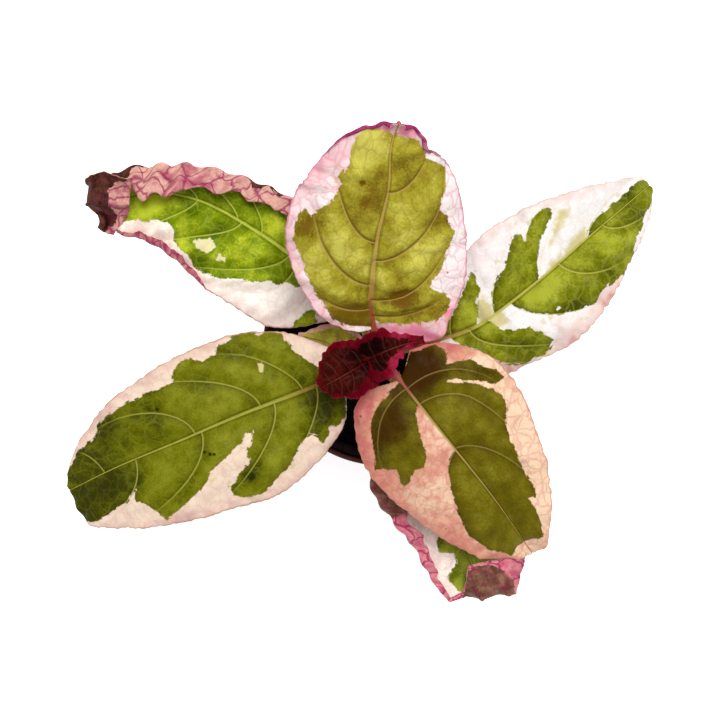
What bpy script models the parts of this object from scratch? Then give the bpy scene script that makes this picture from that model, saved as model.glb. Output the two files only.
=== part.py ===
"""Potted waffle plant: nine puckered leaves on one short stem, in a 76 mm nursery pot.

Lengths in the leaf tables are millimetres; MM turns them into metres when a mesh is made.
The origin is the centre of the pot's flat base and +Z is up.
"""
import bpy
import math
import random
import numpy as np

MM = 0.001
CLEARANCE = 0.3          # between solids that touch on the real plant

# Colours as linear red, green and blue, with their roughness
POT_COLOUR, POT_ROUGHNESS = (0.022, 0.012, 0.010), 0.45
SOIL_COLOUR, SOIL_ROUGHNESS = (0.012, 0.008, 0.006), 0.95
STEM_COLOUR, STEM_ROUGHNESS = (0.16, 0.10, 0.05), 0.6
LEAF_ROUGHNESS = 0.5

# Pot: a thin, tapered nursery pot with a plain outside band at the rim
POT_RIM_RADIUS = 38.0
POT_HEIGHT = 70.0
POT_BASE_RADIUS = 26.5
POT_WALL = 1.0
POT_FLOOR = 1.6
POT_FOOT_BEVEL = 0.8
BAND_HEIGHT = 11.0
BAND_STEP = 1.8          # how far the band stands out from the wall
BAND_LEDGE = 0.5         # the band's lower edge widens over this height
LIP_RADIUS = 0.8         # the round top edge of the band
LIP_TURNS = 5            # points round it
POT_SIDES = 48

# Soil fills the pot to a little below the rim
SOIL_TOP = 60.0
SOIL_CRUMB = 0.7         # height of the lumps
SOIL_RINGS = 7
HOLE_ROOM = 0.6          # the stem leans this much on its way through its hole

# Stem
STEM_PATH = [(-2.0, -1.0, 46.5), (-2.4, -1.4, 60.0), (-3.8, -2.3, 79.0), (-4.8, -3.0, 94.0),
             (-5.2, -3.4, 105.0), (-5.4, -3.8, 112.0)]
STEM_FOOT_RADIUS = 2.1
STEM_TOP_RADIUS = 1.3
NODE_HEIGHTS = (78.0, 93.0, 104.0)
NODE_SWELLING = 0.4
NODE_LENGTH = 1.6
STEM_SIDES = 12
STEM_RINGS = 22

# Blades
BLADE_THICKNESS = 0.7
VEIN_CURVE = 1.6         # side veins leave the midrib square and bend towards the tip
ROLL_RADIUS = 1.7        # of a margin that is rolled over onto the blade
ROLL_TURN = math.radians(158)
FOLD = 0.06              # how far each half blade bulges, as a share of its width
PUCKER = 0.6             # bulge between two side veins
MARGIN_WAVE = 0.7
FULL_WIDTH = 15.0        # narrower stretches pucker and wave less
PETIOLE_RINGS = 6
PETIOLE_SWEEP = 0.4      # how far the blade's direction carries on into the petiole
PETIOLE_ROOM = 0.7       # lets a slanted petiole end clear of the stem's side
TOP_PETIOLE_SPREAD = 1.1  # from the stem's centre line to each petiole on its flat top

# Each leaf: where its petiole leaves the stem (height), its midrib from base to tip, and the side
# veins of its left and right half seen from above with the tip ahead. A side vein is (leaves the
# midrib at, meets the margin at, distance of the margin from the midrib, rise of the margin,
# width rolled over beyond it). The first row is the blade's base edge and the last is its tip.
# "petiole" is the petiole's radius, and "stations" counts the points along the midrib.
LEAVES = {
    "leaf_back": {
        "node": 104.0, "petiole": 1.1, "stations": 26, "colour": (0.36, 0.27, 0.06),
        "midrib": [(-3.5, 4, 108), (-4.5, 12, 113), (-3, 27, 122), (0, 40.5, 129), (0.5, 50, 134),
                   (1.8, 54.5, 136), (2.5, 56.5, 138.5), (2.3, 55.5, 141)],
        "left": [(0, 1, 5, 1, 0), (6, 6, 13, 2, 0), (10, 14.5, 20, 1.5, 0), (14, 28, 25, 0, 0),
                 (27, 41, 23.5, -1, 0), (37, 53, 15.5, -3, 0), (51, 59, 7, -1, 0), (63.5, 63.5, 1, 0, 0)],
        "right": [(0, -2, 7, 2.5, 0), (5, -2, 18, 6.5, 0), (10.5, 14.5, 25, 2, 0),
                  (21.5, 31, 25, -3, 0), (33, 42, 20, -3, 0), (42, 51, 14.5, -2, 0),
                  (53, 59.5, 5.5, -1, 0), (63.5, 63.5, 1, 0, 0)],
    },
    "leaf_front": {
        "node": 104.0, "petiole": 1.1, "stations": 27, "colour": (0.42, 0.27, 0.12),
        "midrib": [(3.5, -10, 110), (10.5, -19, 112), (19, -29.5, 110), (29.5, -42.5, 105),
                   (37.5, -53.5, 99.5), (42, -60, 94.5), (43.5, -61.8, 90.5)],
        "left": [(0, -4, 7, 1, 0), (3.5, -1, 15, 1, 0), (7, 9, 23.5, -2, 0), (11.5, 24, 25, -2.5, 0),
                 (25.5, 41, 20, 0, 0), (38, 54, 14, 1.5, 0), (52, 65, 6.5, 2.5, 0), (73, 73, 1, 0, 0)],
        "right": [(0, -2, 8.5, 0.5, 0), (3.5, -1, 15, -1, 0), (7, 6.5, 20.5, -4.5, 0),
                  (11.5, 19.5, 23.5, -6, 0), (26, 41, 20.5, -4.5, 0), (38, 58.5, 14, -2, 0),
                  (52, 66.5, 6, -0.5, 0), (73, 73, 1, 0, 0)],
    },
    "leaf_left": {
        "node": 93.0, "petiole": 1.1, "stations": 28, "colour": (0.24, 0.22, 0.04),
        "midrib": [(-14, -9.5, 98), (-25, -14, 100), (-42, -20.5, 102), (-59.5, -28, 101),
                   (-77.5, -35.5, 97), (-94, -43.5, 90)],
        "left": [(0, 0, 6.5, 0, 0), (4, 2.5, 12.5, -1.5, 0), (7, 10.5, 19, -3, 0),
                 (20, 26.5, 25.5, -4, 0), (42.5, 45.5, 24, -2.5, 0), (64, 66.5, 20.5, 0, 0),
                 (77, 84, 13.5, 2, 0), (89, 89, 1.5, 0, 0)],
        "right": [(0, -2.5, 7, 0.5, 0), (6.5, 2, 11.5, 0.5, 0), (11, 9.5, 17.5, 1.5, 0),
                  (24, 23, 22, 1.5, 0), (44, 42, 22.5, 1.5, 0), (59, 61, 19, 2, 0),
                  (75, 76, 12.5, 1, 0), (89, 89, 1.5, 0, 0)],
    },
    "leaf_right": {
        "node": 93.0, "petiole": 1.1, "stations": 26, "colour": (0.30, 0.30, 0.08),
        "midrib": [(13.5, 0.5, 97), (27, 5.5, 100), (43, 17.5, 102), (57.5, 30, 101),
                   (69.5, 40, 98), (78, 47, 93)],
        "left": [(0, 1.5, 6.5, 0.5, 0), (6, 9.5, 15, 2, 0), (13.5, 28.5, 20, 3.5, 0),
                 (20, 44, 18.5, 5, 0), (37, 60, 12.5, 5, 0), (55, 71, 7.5, 3, 0),
                 (68, 78.5, 3.5, 1.5, 0), (82, 82, 1, 0, 0)],
        "right": [(0, 2.5, 10.5, -3.5, 0), (5.5, 10.5, 16, -5.5, 0), (11.5, 19.5, 17.5, -6.5, 0),
                  (25.5, 33, 20.5, -6, 0), (43.5, 48.5, 18, -4.5, 0), (56, 63.5, 11.5, -3.5, 0),
                  (68, 76, 6, -2, 0), (82, 82, 1, 0, 0)],
    },
    "leaf_back_left": {
        "node": 78.0, "petiole": 1.1, "stations": 33, "colour": (0.20, 0.27, 0.03),
        "midrib": [(-12, 13.5, 86), (-25.5, 24.5, 91), (-40, 34, 94), (-55, 41, 95),
                   (-69.5, 43, 93), (-79, 41, 91), (-84.5, 39, 92), (-86, 38.5, 95),
                   (-83, 39, 97.5), (-77.5, 40, 97)],
        "left": [(0, -2.5, 5, 0.5, 0), (11, 2, 10.5, 1.5, 0), (18, 12.5, 20.5, 0.5, 0),
                 (21.5, 33, 21.5, -1.5, 1), (38.5, 52, 16, -2, 2.5), (53, 68, 9.5, -0.5, 2),
                 (68, 79, 7, 0, 0), (84, 87, 6.5, 0, 0), (99, 99, 3.5, 0, 0)],
        "right": [(0, 5, 8.5, -0.5, 2), (11, 16, 11, -0.5, 3.5), (18, 30.5, 11.5, 0.5, 5),
                  (32, 42, 10.5, 1.5, 6), (40, 54, 9, 2, 6), (53, 64, 8, 2.5, 6),
                  (68, 76, 6.5, 1.5, 1), (84, 87, 6, 0, 0), (99, 99, 3.5, 0, 0)],
    },
    "leaf_lower_front": {
        "node": 78.0, "petiole": 1.1, "stations": 26, "colour": (0.36, 0.24, 0.11),
        "midrib": [(7, -18.5, 84), (13, -32, 87), (19, -46.5, 87), (24, -60, 85), (27, -69.5, 83.3),
                   (28.9, -75.4, 84.8), (28.6, -76.9, 88.5), (27, -75.2, 91.5)],
        "left": [(0, 4, 9, 0, 0), (5.5, 15, 15.5, -1, 0), (14, 27.5, 18.5, -1, 0),
                 (24.5, 38.5, 20, -1.5, 0), (34.5, 50, 19, -2, 0), (46, 56, 15, -1, 0),
                 (58, 62, 9.5, 0, 0), (65, 66, 7.5, 0, 0), (71, 71, 4, 0, 0)],
        "right": [(0, 1, 8, 0.5, 0), (5.5, 8, 15, 0.5, 2), (14, 18.5, 17.5, 0.5, 4),
                  (24.5, 30.5, 16, 0, 5), (34.5, 41.5, 13, 0, 5), (46, 53, 12, 0.5, 0),
                  (58, 60, 9, 0, 0), (65, 66, 7, 0, 0), (71, 71, 4, 0, 0)],
    },
    "leaf_small": {
        "node": 86.0, "petiole": 0.8, "stations": 14, "colour": (0.40, 0.30, 0.16),
        "midrib": [(-10.5, -4, 90), (-14, -2, 92), (-18.5, 0.5, 93), (-26, 2.5, 92)],
        "left": [(0, 0, 3, 0, 0), (2, 2, 6, 0, 0), (5.5, 6.5, 7, -0.5, 0), (9, 11, 6, -0.5, 0),
                 (13, 14.5, 3.5, -0.5, 0), (17.5, 17.5, 0.8, 0, 0)],
        "right": [(0, 0, 3, 0, 0), (2, 2, 5.5, 0, 0), (5.5, 6.5, 7, 0, 0), (9, 11, 5, 0, 0),
                  (13, 14.5, 2.5, -0.5, 0), (17.5, 17.5, 0.8, 0, 0)],
    },
    "leaf_young_left": {
        "node": 113.0, "petiole": 0.7, "stations": 14, "colour": (0.12, 0.03, 0.02),
        "midrib": [(-7.5, -5.2, 116.5), (-10, -8, 118), (-13.5, -11.5, 118.5), (-17.5, -13.5, 116)],
        "left": [(0, -1.5, 5, 0, 0), (2, 0.5, 7, 0, 0), (6, 7, 6, -1, 0), (9.5, 11, 4.5, -1, 0),
                 (12, 13, 2.8, -0.5, 0), (14.5, 14.5, 1.2, 0, 0)],
        "right": [(0, -0.5, 5, 0, 0), (2, 1.5, 9.5, 0.5, 0), (6, 8, 9.5, 0.5, 0),
                  (9.5, 11.5, 6.5, 0.5, 0), (12, 13.2, 3.5, 0.5, 0), (14.5, 14.5, 1.2, 0, 0)],
    },
    "leaf_young_right": {
        "node": 113.0, "petiole": 0.7, "stations": 14, "colour": (0.10, 0.02, 0.02),
        "midrib": [(-3.2, -2.6, 119), (-0.5, -1.5, 121.5), (4, 0, 124), (10, 1, 123)],
        "left": [(0, -1.5, 3.5, 0.5, 0), (2, 1.5, 5, 1, 0), (5, 6, 5.5, 0, 0), (8, 9.5, 3.5, -0.5, 0),
                 (11.5, 13, 1.5, -0.5, 0), (14.7, 14.7, 0.6, 0, 0)],
        "right": [(0, 0, 4, -0.5, 0), (2, 1.5, 5.5, -1, 0), (5, 6, 6, -1.5, 0), (8, 9.5, 4.5, -1.5, 0),
                  (11.5, 12.5, 2, -1, 0), (14.7, 14.7, 0.6, 0, 0)],
    },
}
FLAT_COLUMNS = 6         # columns of one half blade
ROLLED_COLUMNS = 9       # more where the margin is rolled over


def make_material(name, colour, roughness):
    material = bpy.data.materials.new(name)
    material.use_nodes = True
    shader = material.node_tree.nodes["Principled BSDF"]
    shader.inputs["Base Color"].default_value = (*colour, 1.0)
    shader.inputs["Roughness"].default_value = roughness
    shader.inputs["Metallic"].default_value = 0.0
    return material


def make_object(name, points, faces, colour, roughness):
    """A mesh object from points in millimetres."""
    mesh = bpy.data.meshes.new(name)
    mesh.from_pydata([tuple(MM * value for value in point) for point in points], [], faces)
    mesh.update()
    part = bpy.data.objects.new(name, mesh)
    bpy.context.collection.objects.link(part)
    part.data.materials.append(make_material(name, colour, roughness))
    return part


def curve_through(rows, at):
    """Rows of numbers blended by a Catmull-Rom curve; at counts rows from 0."""
    rows = np.asarray(rows, dtype=float)
    last = len(rows) - 1
    rows = np.vstack([2 * rows[0] - rows[1], rows, 2 * rows[-1] - rows[-2]])
    at = np.clip(np.asarray(at, dtype=float), 0, last)
    index = np.minimum(at.astype(int), last - 1)
    t = (at - index)[..., None]
    before, start, end, after = (rows[index + k] for k in range(4))
    return 0.5 * (2 * start + (end - before) * t + (2 * before - 5 * start + 4 * end - after) * t ** 2
                  + (3 * start - before - 3 * end + after) * t ** 3)


def unit(vectors):
    return vectors / np.linalg.norm(vectors, axis=-1, keepdims=True)


def ring(centre, side, up, radius, count):
    """Points on a circle that runs from side towards up."""
    angles = 2 * math.pi * np.arange(count) / count
    circle = np.outer(np.cos(angles), side) + np.outer(np.sin(angles), up)
    return np.asarray(centre, dtype=float) + radius * circle


def loft(rings):
    """Faces of a closed solid through rings of equal size, with a flat cap at each end."""
    count = len(rings[0])
    faces = [tuple(range(count))[::-1]]
    for k in range(len(rings) - 1):
        for i in range(count):
            j = (i + 1) % count
            low, high = k * count, (k + 1) * count
            faces.append((low + i, low + j, high + j, high + i))
    faces.append(tuple(range((len(rings) - 1) * count, len(rings) * count)))
    return np.vstack(rings), faces


def level_ring(centre, radius, height, count):
    return ring((centre[0], centre[1], height), (1, 0, 0), (0, 1, 0), radius, count)


def pot_wall_radius(height):
    """Outside radius of the tapered wall below the band."""
    top = POT_RIM_RADIUS - BAND_STEP
    return POT_BASE_RADIUS + (top - POT_BASE_RADIUS) * height / POT_HEIGHT


def make_pot():
    band_foot = POT_HEIGHT - BAND_HEIGHT
    lip = [(POT_RIM_RADIUS - LIP_RADIUS + LIP_RADIUS * math.cos(angle),
            POT_HEIGHT - LIP_RADIUS + LIP_RADIUS * math.sin(angle))
           for angle in np.linspace(0, math.pi, LIP_TURNS)]
    profile = [(POT_BASE_RADIUS - POT_FOOT_BEVEL, 0.0),
               (pot_wall_radius(POT_FOOT_BEVEL), POT_FOOT_BEVEL),
               (pot_wall_radius(band_foot), band_foot),
               (POT_RIM_RADIUS - BAND_LEDGE, band_foot + BAND_LEDGE),
               *lip,
               (pot_wall_radius(band_foot) - POT_WALL, band_foot),
               (pot_wall_radius(POT_FLOOR) - POT_WALL, POT_FLOOR)]
    rings = [level_ring((0, 0), radius, height, POT_SIDES) for radius, height in profile]
    make_object("pot", *loft(rings), POT_COLOUR, POT_ROUGHNESS)


def stem_radius(height):
    """Tapers upwards and swells at each node."""
    foot, top = STEM_PATH[0][2], STEM_PATH[-1][2]
    radius = STEM_FOOT_RADIUS + (STEM_TOP_RADIUS - STEM_FOOT_RADIUS) * (height - foot) / (top - foot)
    for node in NODE_HEIGHTS:
        radius += NODE_SWELLING * math.exp(-((height - node) / NODE_LENGTH) ** 2)
    return radius


def stem_point(height):
    """Centre of the stem at a height."""
    fine = curve_through(STEM_PATH, np.linspace(0, len(STEM_PATH) - 1, 200))
    return np.array([np.interp(height, fine[:, 2], fine[:, axis]) for axis in range(3)])


def make_stem():
    heights = np.linspace(STEM_PATH[0][2], STEM_PATH[-1][2], STEM_RINGS)
    rings = [level_ring(stem_point(height), stem_radius(height), height, STEM_SIDES)
             for height in heights]
    make_object("stem", *loft(rings), STEM_COLOUR, STEM_ROUGHNESS)


def make_soil():
    """A plug of soil with a lumpy top and a plain hole that the stem stands in."""
    draw = random.Random(7)
    stem = stem_point(SOIL_TOP)
    hole_foot = STEM_PATH[0][2] - CLEARANCE
    hole_radius = STEM_FOOT_RADIUS + HOLE_ROOM + CLEARANCE
    top_radius = pot_wall_radius(POT_HEIGHT - BAND_HEIGHT) - POT_WALL - CLEARANCE
    foot = POT_FLOOR + CLEARANCE
    foot_radius = pot_wall_radius(foot) - POT_WALL - CLEARANCE
    rings = [level_ring(stem, hole_radius, hole_foot, POT_SIDES),
             level_ring(stem, hole_radius, SOIL_TOP - SOIL_CRUMB, POT_SIDES)]
    for k in range(1, SOIL_RINGS):
        share = k / SOIL_RINGS
        radius = hole_radius + (top_radius - hole_radius) * share
        centre = stem * (1 - share)
        crumbs = level_ring(centre, radius, SOIL_TOP, POT_SIDES)
        crumbs[:, 2] += [draw.uniform(-SOIL_CRUMB, SOIL_CRUMB) for _ in range(POT_SIDES)]
        rings.append(crumbs)
    rings.append(level_ring((0, 0), top_radius, SOIL_TOP - SOIL_CRUMB, POT_SIDES))
    rings.append(level_ring((0, 0), foot_radius, foot, POT_SIDES))
    make_object("soil", *loft(rings[::-1]), SOIL_COLOUR, SOIL_ROUGHNESS)


def midrib_frames(points, count=120):
    """The midrib sampled evenly, with its forward, left and up directions.

    The up direction is carried along the curve, so a tip that curls back over turns upside down.
    """
    dense = curve_through(points, np.linspace(0, len(points) - 1, 12 * count))
    length = np.concatenate([[0], np.cumsum(np.linalg.norm(np.diff(dense, axis=0), axis=1))])
    along = np.linspace(0, length[-1], count)
    centre = np.column_stack([np.interp(along, length, dense[:, axis]) for axis in range(3)])
    forward = unit(np.gradient(centre, axis=0))
    up = np.zeros_like(centre)
    carried = np.array([0.0, 0.0, 1.0])
    for k in range(count):
        carried = carried - carried.dot(forward[k]) * forward[k]
        carried = carried / np.linalg.norm(carried)
        up[k] = carried
    return along, centre, forward, np.cross(up, forward), up


def half_blade(rows, starts, share):
    """Where points of one half blade lie: (along, across, rise) for each start and each share.

    starts are distances along the midrib; share runs from 0 at the midrib to 1 at the margin.
    """
    rows = np.asarray(rows, dtype=float)
    vein = np.interp(starts * rows[-1, 0] / starts[-1], rows[:, 0], np.arange(len(rows)))
    along, width, rise, roll = curve_through(rows[:, 1:], vein).T[:, :, None]
    roll = np.maximum(roll, 0)
    starts = starts[:, None]
    between = np.sin(math.pi * vein)[:, None] ** 2
    reach = share * (width + roll)
    flat = np.minimum(reach / width, 1)
    turn = np.clip((reach - width) / ROLL_RADIUS, 0, ROLL_TURN)
    beyond = np.maximum(reach - width - ROLL_RADIUS * ROLL_TURN, 0)
    out_along = starts + (along - starts) * flat ** VEIN_CURVE
    out_across = width * flat + ROLL_RADIUS * np.sin(turn) + beyond * math.cos(ROLL_TURN)
    out_rise = rise * flat ** 2 + FOLD * width * np.sin(math.pi * flat)
    full = np.minimum(width / FULL_WIDTH, 1)
    out_rise += PUCKER * full * between * np.sin(math.pi * flat)
    out_rise += MARGIN_WAVE * full * np.sin(2 * math.pi * vein)[:, None] * flat ** 3
    out_rise += ROLL_RADIUS * (1 - np.cos(turn)) + beyond * math.sin(ROLL_TURN)
    return np.stack(np.broadcast_arrays(out_along, out_across, out_rise), axis=-1)


def columns_of(rows):
    rolled = any(row[4] > 0 for row in rows)
    count = ROLLED_COLUMNS if rolled else FLAT_COLUMNS
    return np.linspace(0, 1, count + 1)


def blade_surface(leaf):
    """Middle surface of a blade: stations from base to tip, each from right margin to left."""
    along, centre, forward, left, up = midrib_frames(leaf["midrib"])
    mean = (np.array(leaf["left"], dtype=float)[:, 0] + np.array(leaf["right"], dtype=float)[:, 0]) / 2
    starts = curve_through(mean[:, None], np.linspace(0, len(mean) - 1, leaf["stations"]))[:, 0]
    starts = np.maximum.accumulate(starts)
    left_half = half_blade(leaf["left"], starts, columns_of(leaf["left"]))
    right_half = half_blade(leaf["right"], starts, columns_of(leaf["right"])[:0:-1])
    right_half[..., 1] *= -1
    where = np.concatenate([right_half, left_half], axis=1)
    reached = np.clip(where[..., 0], 0, along[-1])

    def at(vectors):
        return np.stack([np.interp(reached, along, vectors[:, axis]) for axis in range(3)], axis=-1)

    surface = at(centre) + (where[..., 0] - reached)[..., None] * at(forward)
    surface = surface + where[..., 1, None] * at(left) + where[..., 2, None] * at(up)
    return surface, right_half.shape[1]


def petiole_start(leaf, base):
    """Just clear of the stem's side, or of its flat top for the youngest pair."""
    top = STEM_PATH[-1][2]
    height = min(leaf["node"], top)
    outward = base - stem_point(height)
    outward[2] = 0
    outward = outward / np.linalg.norm(outward)
    if leaf["node"] > top:
        return stem_point(top) + outward * TOP_PETIOLE_SPREAD + np.array([0, 0, CLEARANCE + 0.1])
    return stem_point(height) + outward * (stem_radius(height) + CLEARANCE + PETIOLE_ROOM)


def petiole_rings(leaf, base, forward, left):
    """Hexagons from the blade's base back to the stem."""
    start = petiole_start(leaf, base)
    bend = base - forward * PETIOLE_SWEEP * np.linalg.norm(base - start)
    rings = []
    for k in range(1, PETIOLE_RINGS + 1):
        t = 1 - k / PETIOLE_RINGS
        centre = (1 - t) ** 2 * start + 2 * t * (1 - t) * bend + t ** 2 * base
        ahead = unit(2 * (1 - t) * (bend - start) + 2 * t * (base - bend))
        side = unit(left - left.dot(ahead) * ahead)
        above = np.cross(ahead, side)
        angles = np.radians((150, 90, 30, -30, -90, -150))
        circle = np.outer(np.cos(angles), side) + np.outer(np.sin(angles), above)
        rings.append(centre + leaf["petiole"] * circle)
    return rings


def make_leaf(name, leaf):
    """A closed blade of even thickness whose base edge runs on into its petiole."""
    surface, middle = blade_surface(leaf)
    rows, columns = surface.shape[:2]
    normal = unit(np.cross(np.gradient(surface, axis=0), np.gradient(surface, axis=1)))
    top = surface + normal * BLADE_THICKNESS / 2
    bottom = surface - normal * BLADE_THICKNESS / 2
    points = np.vstack([top.reshape(-1, 3), bottom.reshape(-1, 3)])
    under = rows * columns
    faces = []
    for i in range(rows - 1):
        for j in range(columns - 1):
            a, b = i * columns + j, i * columns + j + 1
            c, d = b + columns, a + columns
            faces += [(a, c, b), (a, d, c)]
            faces += [(under + a, under + b, under + c), (under + a, under + c, under + d)]

    def close_edge(first, second):
        faces.append((second, first, under + first))
        faces.append((second, under + first, under + second))

    for i in range(rows - 1):
        close_edge(i * columns, (i + 1) * columns)
        close_edge((i + 2) * columns - 1, (i + 1) * columns - 1)
    for j in range(columns - 1):
        close_edge((rows - 1) * columns + j, (rows - 1) * columns + j + 1)
        if j not in (middle - 1, middle):
            close_edge(j + 1, j)

    forward = unit(surface[1, middle] - surface[0, middle])
    left = unit(surface[0, middle + 1] - surface[0, middle - 1])
    rings = petiole_rings(leaf, surface[0, middle], forward, left)
    mouth = [middle - 1, middle, middle + 1, under + middle + 1, under + middle, under + middle - 1]
    for points_of_ring in rings:
        new = list(range(len(points), len(points) + 6))
        points = np.vstack([points, points_of_ring])
        for k in range(6):
            m = (k + 1) % 6
            faces.append((mouth[k], mouth[m], new[m], new[k]))
        mouth = new
    faces.append(tuple(mouth))
    make_object(name, points, faces, leaf["colour"], LEAF_ROUGHNESS)


for item in list(bpy.data.objects):
    bpy.data.objects.remove(item, do_unlink=True)

make_pot()
make_soil()
make_stem()
for leaf_name, leaf_values in LEAVES.items():
    make_leaf(leaf_name, leaf_values)
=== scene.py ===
"""Looks of the potted waffle plant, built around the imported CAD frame.

Lengths in the tables are millimetres, and MM turns them into metres when a mesh is made.
The origin is the centre of the pot's base and +Z is up.
"""
import bpy
import math
import numpy as np
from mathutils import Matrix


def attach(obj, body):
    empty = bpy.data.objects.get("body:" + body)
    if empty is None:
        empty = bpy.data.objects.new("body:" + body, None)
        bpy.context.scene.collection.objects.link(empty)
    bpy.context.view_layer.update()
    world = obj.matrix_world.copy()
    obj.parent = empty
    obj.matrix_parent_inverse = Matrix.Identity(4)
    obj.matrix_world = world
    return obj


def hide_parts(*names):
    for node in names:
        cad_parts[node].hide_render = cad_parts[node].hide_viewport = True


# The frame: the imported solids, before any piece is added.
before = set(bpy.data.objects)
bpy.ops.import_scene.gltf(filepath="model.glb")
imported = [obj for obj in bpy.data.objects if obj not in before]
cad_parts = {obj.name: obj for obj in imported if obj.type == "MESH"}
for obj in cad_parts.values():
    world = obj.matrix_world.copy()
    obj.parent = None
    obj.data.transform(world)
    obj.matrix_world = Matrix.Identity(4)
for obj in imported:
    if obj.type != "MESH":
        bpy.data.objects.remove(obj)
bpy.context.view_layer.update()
bpy.ops.object.select_all(action="DESELECT")
MM = 0.001

# The camera looks straight down on the plant, from 450 mm above the floor. The top of its picture
# is +Y. The plain view transform keeps the strong colours of the photograph.
CAMERA_PLACE = (-7.5, -4.7, 450.0)
CAMERA_LENS = 60.5

bpy.ops.object.camera_add(location=[MM * value for value in CAMERA_PLACE], rotation=(0, 0, 0))
camera = bpy.context.object
camera.name = "camera"
camera.data.lens = CAMERA_LENS
bpy.context.scene.camera = camera
bpy.context.scene.view_settings.view_transform = "Standard"


# Pot: a thin, tapered 76 mm nursery pot with a plain band at its rim. It is moulded in one piece
# from dark reddish-brown plastic, and is a little scuffed and dusty.
POT_RIM_RADIUS = 38.0
POT_HEIGHT = 70.0
POT_BASE_RADIUS = 26.5
POT_WALL = 1.0
POT_FLOOR = 1.6
POT_FOOT_BEVEL = 0.8
POT_CORNER_RADIUS = 1.5  # inside, round the floor
POT_WALL_RINGS = (20.0, 40.0)
POT_STEPS = 160
BAND_HEIGHT = 11.0
BAND_STEP = 1.8
BAND_LEDGE = 0.5         # radius of the band's lower edge, and how far its face slants
BAND_SLOPES = (0.4, 1.5)  # heights of the slopes from the wall to the band, outside and inside
LIP_RADIUS = 0.8
DUST_FOOT = 40.0         # dust gathers from this height up
LIP_HIGHLIGHT = (0.6, 0.1)    # painted highlight along the top of the lip: it sets in and is full at these depths below the top


def paint(red, green, blue):
    """A colour as it should look, 0 to 255 and a little over in full light, as a base colour."""
    lit = 0.8
    return tuple(lit * (value / 255) ** 2.2 for value in (red, green, blue)) + (1.0,)


class Finish:
    """A material whose nodes are added by short calls, most of them giving an output to link on."""

    def __init__(self, name):
        self.material = bpy.data.materials.new(name)
        self.material.use_nodes = True
        self.tree = self.material.node_tree
        self.shader = self.tree.nodes["Principled BSDF"]

    def set(self, socket, value):
        if isinstance(value, bpy.types.NodeSocket):
            self.tree.links.new(value, socket)
        else:
            socket.default_value = value

    def node(self, kind, inputs, **settings):
        made = self.tree.nodes.new("ShaderNode" + kind)
        for key, value in settings.items():
            setattr(made, key, value)
        for key, value in inputs.items():
            self.set(made.inputs[key], value)
        return made

    def place(self):
        return self.node("TexCoord", {}).outputs["Object"]

    def parts(self, vector):
        return list(self.node("SeparateXYZ", {0: vector}).outputs)

    def attribute(self, name):
        """The three numbers that each point of the mesh carries under a name."""
        return self.parts(self.node("Attribute", {}, attribute_name=name).outputs["Vector"])

    def math(self, operation, first, second=0.0):
        return self.node("Math", {0: first, 1: second}, operation=operation).outputs[0]

    def times(self, first, second):
        return self.math("MULTIPLY", first, second)

    def plus(self, total, *others):
        for other in others:
            total = self.math("ADD", total, other)
        return total

    def vector(self, operation, first, second):
        return self.node("VectorMath", {0: first, 1: second}, operation=operation).outputs[0]

    def noise(self, where, scale, detail, output=0):
        inputs = {"Vector": where, "Scale": scale, "Detail": detail}
        return self.node("TexNoise", inputs).outputs[output]

    def cells(self, where, scale, output="Distance", **settings):
        inputs = {"Vector": where, "Scale": scale}
        return self.node("TexVoronoi", inputs, **settings).outputs[output]

    def ramp(self, value, low, high, start=0.0, end=1.0):
        """Goes smoothly from start to end as value goes from low to high."""
        inputs = {"Value": value, "From Min": low, "From Max": high, "To Min": start, "To Max": end}
        return self.node("MapRange", inputs, interpolation_type="SMOOTHSTEP").outputs[0]

    def level(self, value, low, high, share=1.0):
        """Goes smoothly from 0 to a share as value goes from low to high."""
        return self.ramp(value, low, high, 0, share)

    def mix(self, share, first, second):
        inputs = {"Factor": share, 6: first, 7: second}
        return self.node("Mix", inputs, data_type="RGBA").outputs[2]

    def surface(self, colour, roughness, gloss, height):
        """The finished material: gloss is its specular level, height its relief in millimetres."""
        bump = self.node("Bump", {"Height": height, "Distance": MM, "Strength": 1.0})
        inputs = {"Base Color": colour, "Roughness": roughness, "Specular IOR Level": gloss,
                  "Normal": bump.outputs[0]}
        for name, value in inputs.items():
            self.set(self.shader.inputs[name], value)
        return self.material


def pot_wall_radius(height):
    """Outside radius of the tapered wall below the band."""
    top = POT_RIM_RADIUS - BAND_STEP
    return POT_BASE_RADIUS + (top - POT_BASE_RADIUS) * height / POT_HEIGHT


def arc(centre, radius, first, last, count):
    """Points (radius, height) round a centre, from one angle in degrees to another."""
    return [(centre[0] + radius * math.cos(angle), centre[1] + radius * math.sin(angle))
            for angle in np.radians(np.linspace(first, last, count))]


def turned(name, profile, steps):
    """A closed round solid: a disc extruded and widened from ring to ring of (radius, height)."""
    radius, height = profile[0]
    bpy.ops.mesh.primitive_circle_add(vertices=steps, radius=MM * radius, fill_type="NGON",
                                      location=(0, 0, MM * height))
    piece = bpy.context.object
    piece.name = name
    bpy.ops.object.mode_set(mode="EDIT")
    for next_radius, next_height in profile[1:]:
        bpy.ops.mesh.extrude_region_move(
            TRANSFORM_OT_translate={"value": (0, 0, MM * (next_height - height))})
        bpy.ops.transform.resize(value=(next_radius / radius, next_radius / radius, 1))
        radius, height = next_radius, next_height
    bpy.ops.mesh.select_all(action="SELECT")
    bpy.ops.mesh.normals_make_consistent(inside=False)
    bpy.ops.object.mode_set(mode="OBJECT")
    bpy.ops.object.transform_apply(location=True, rotation=True, scale=True)
    return piece


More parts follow.
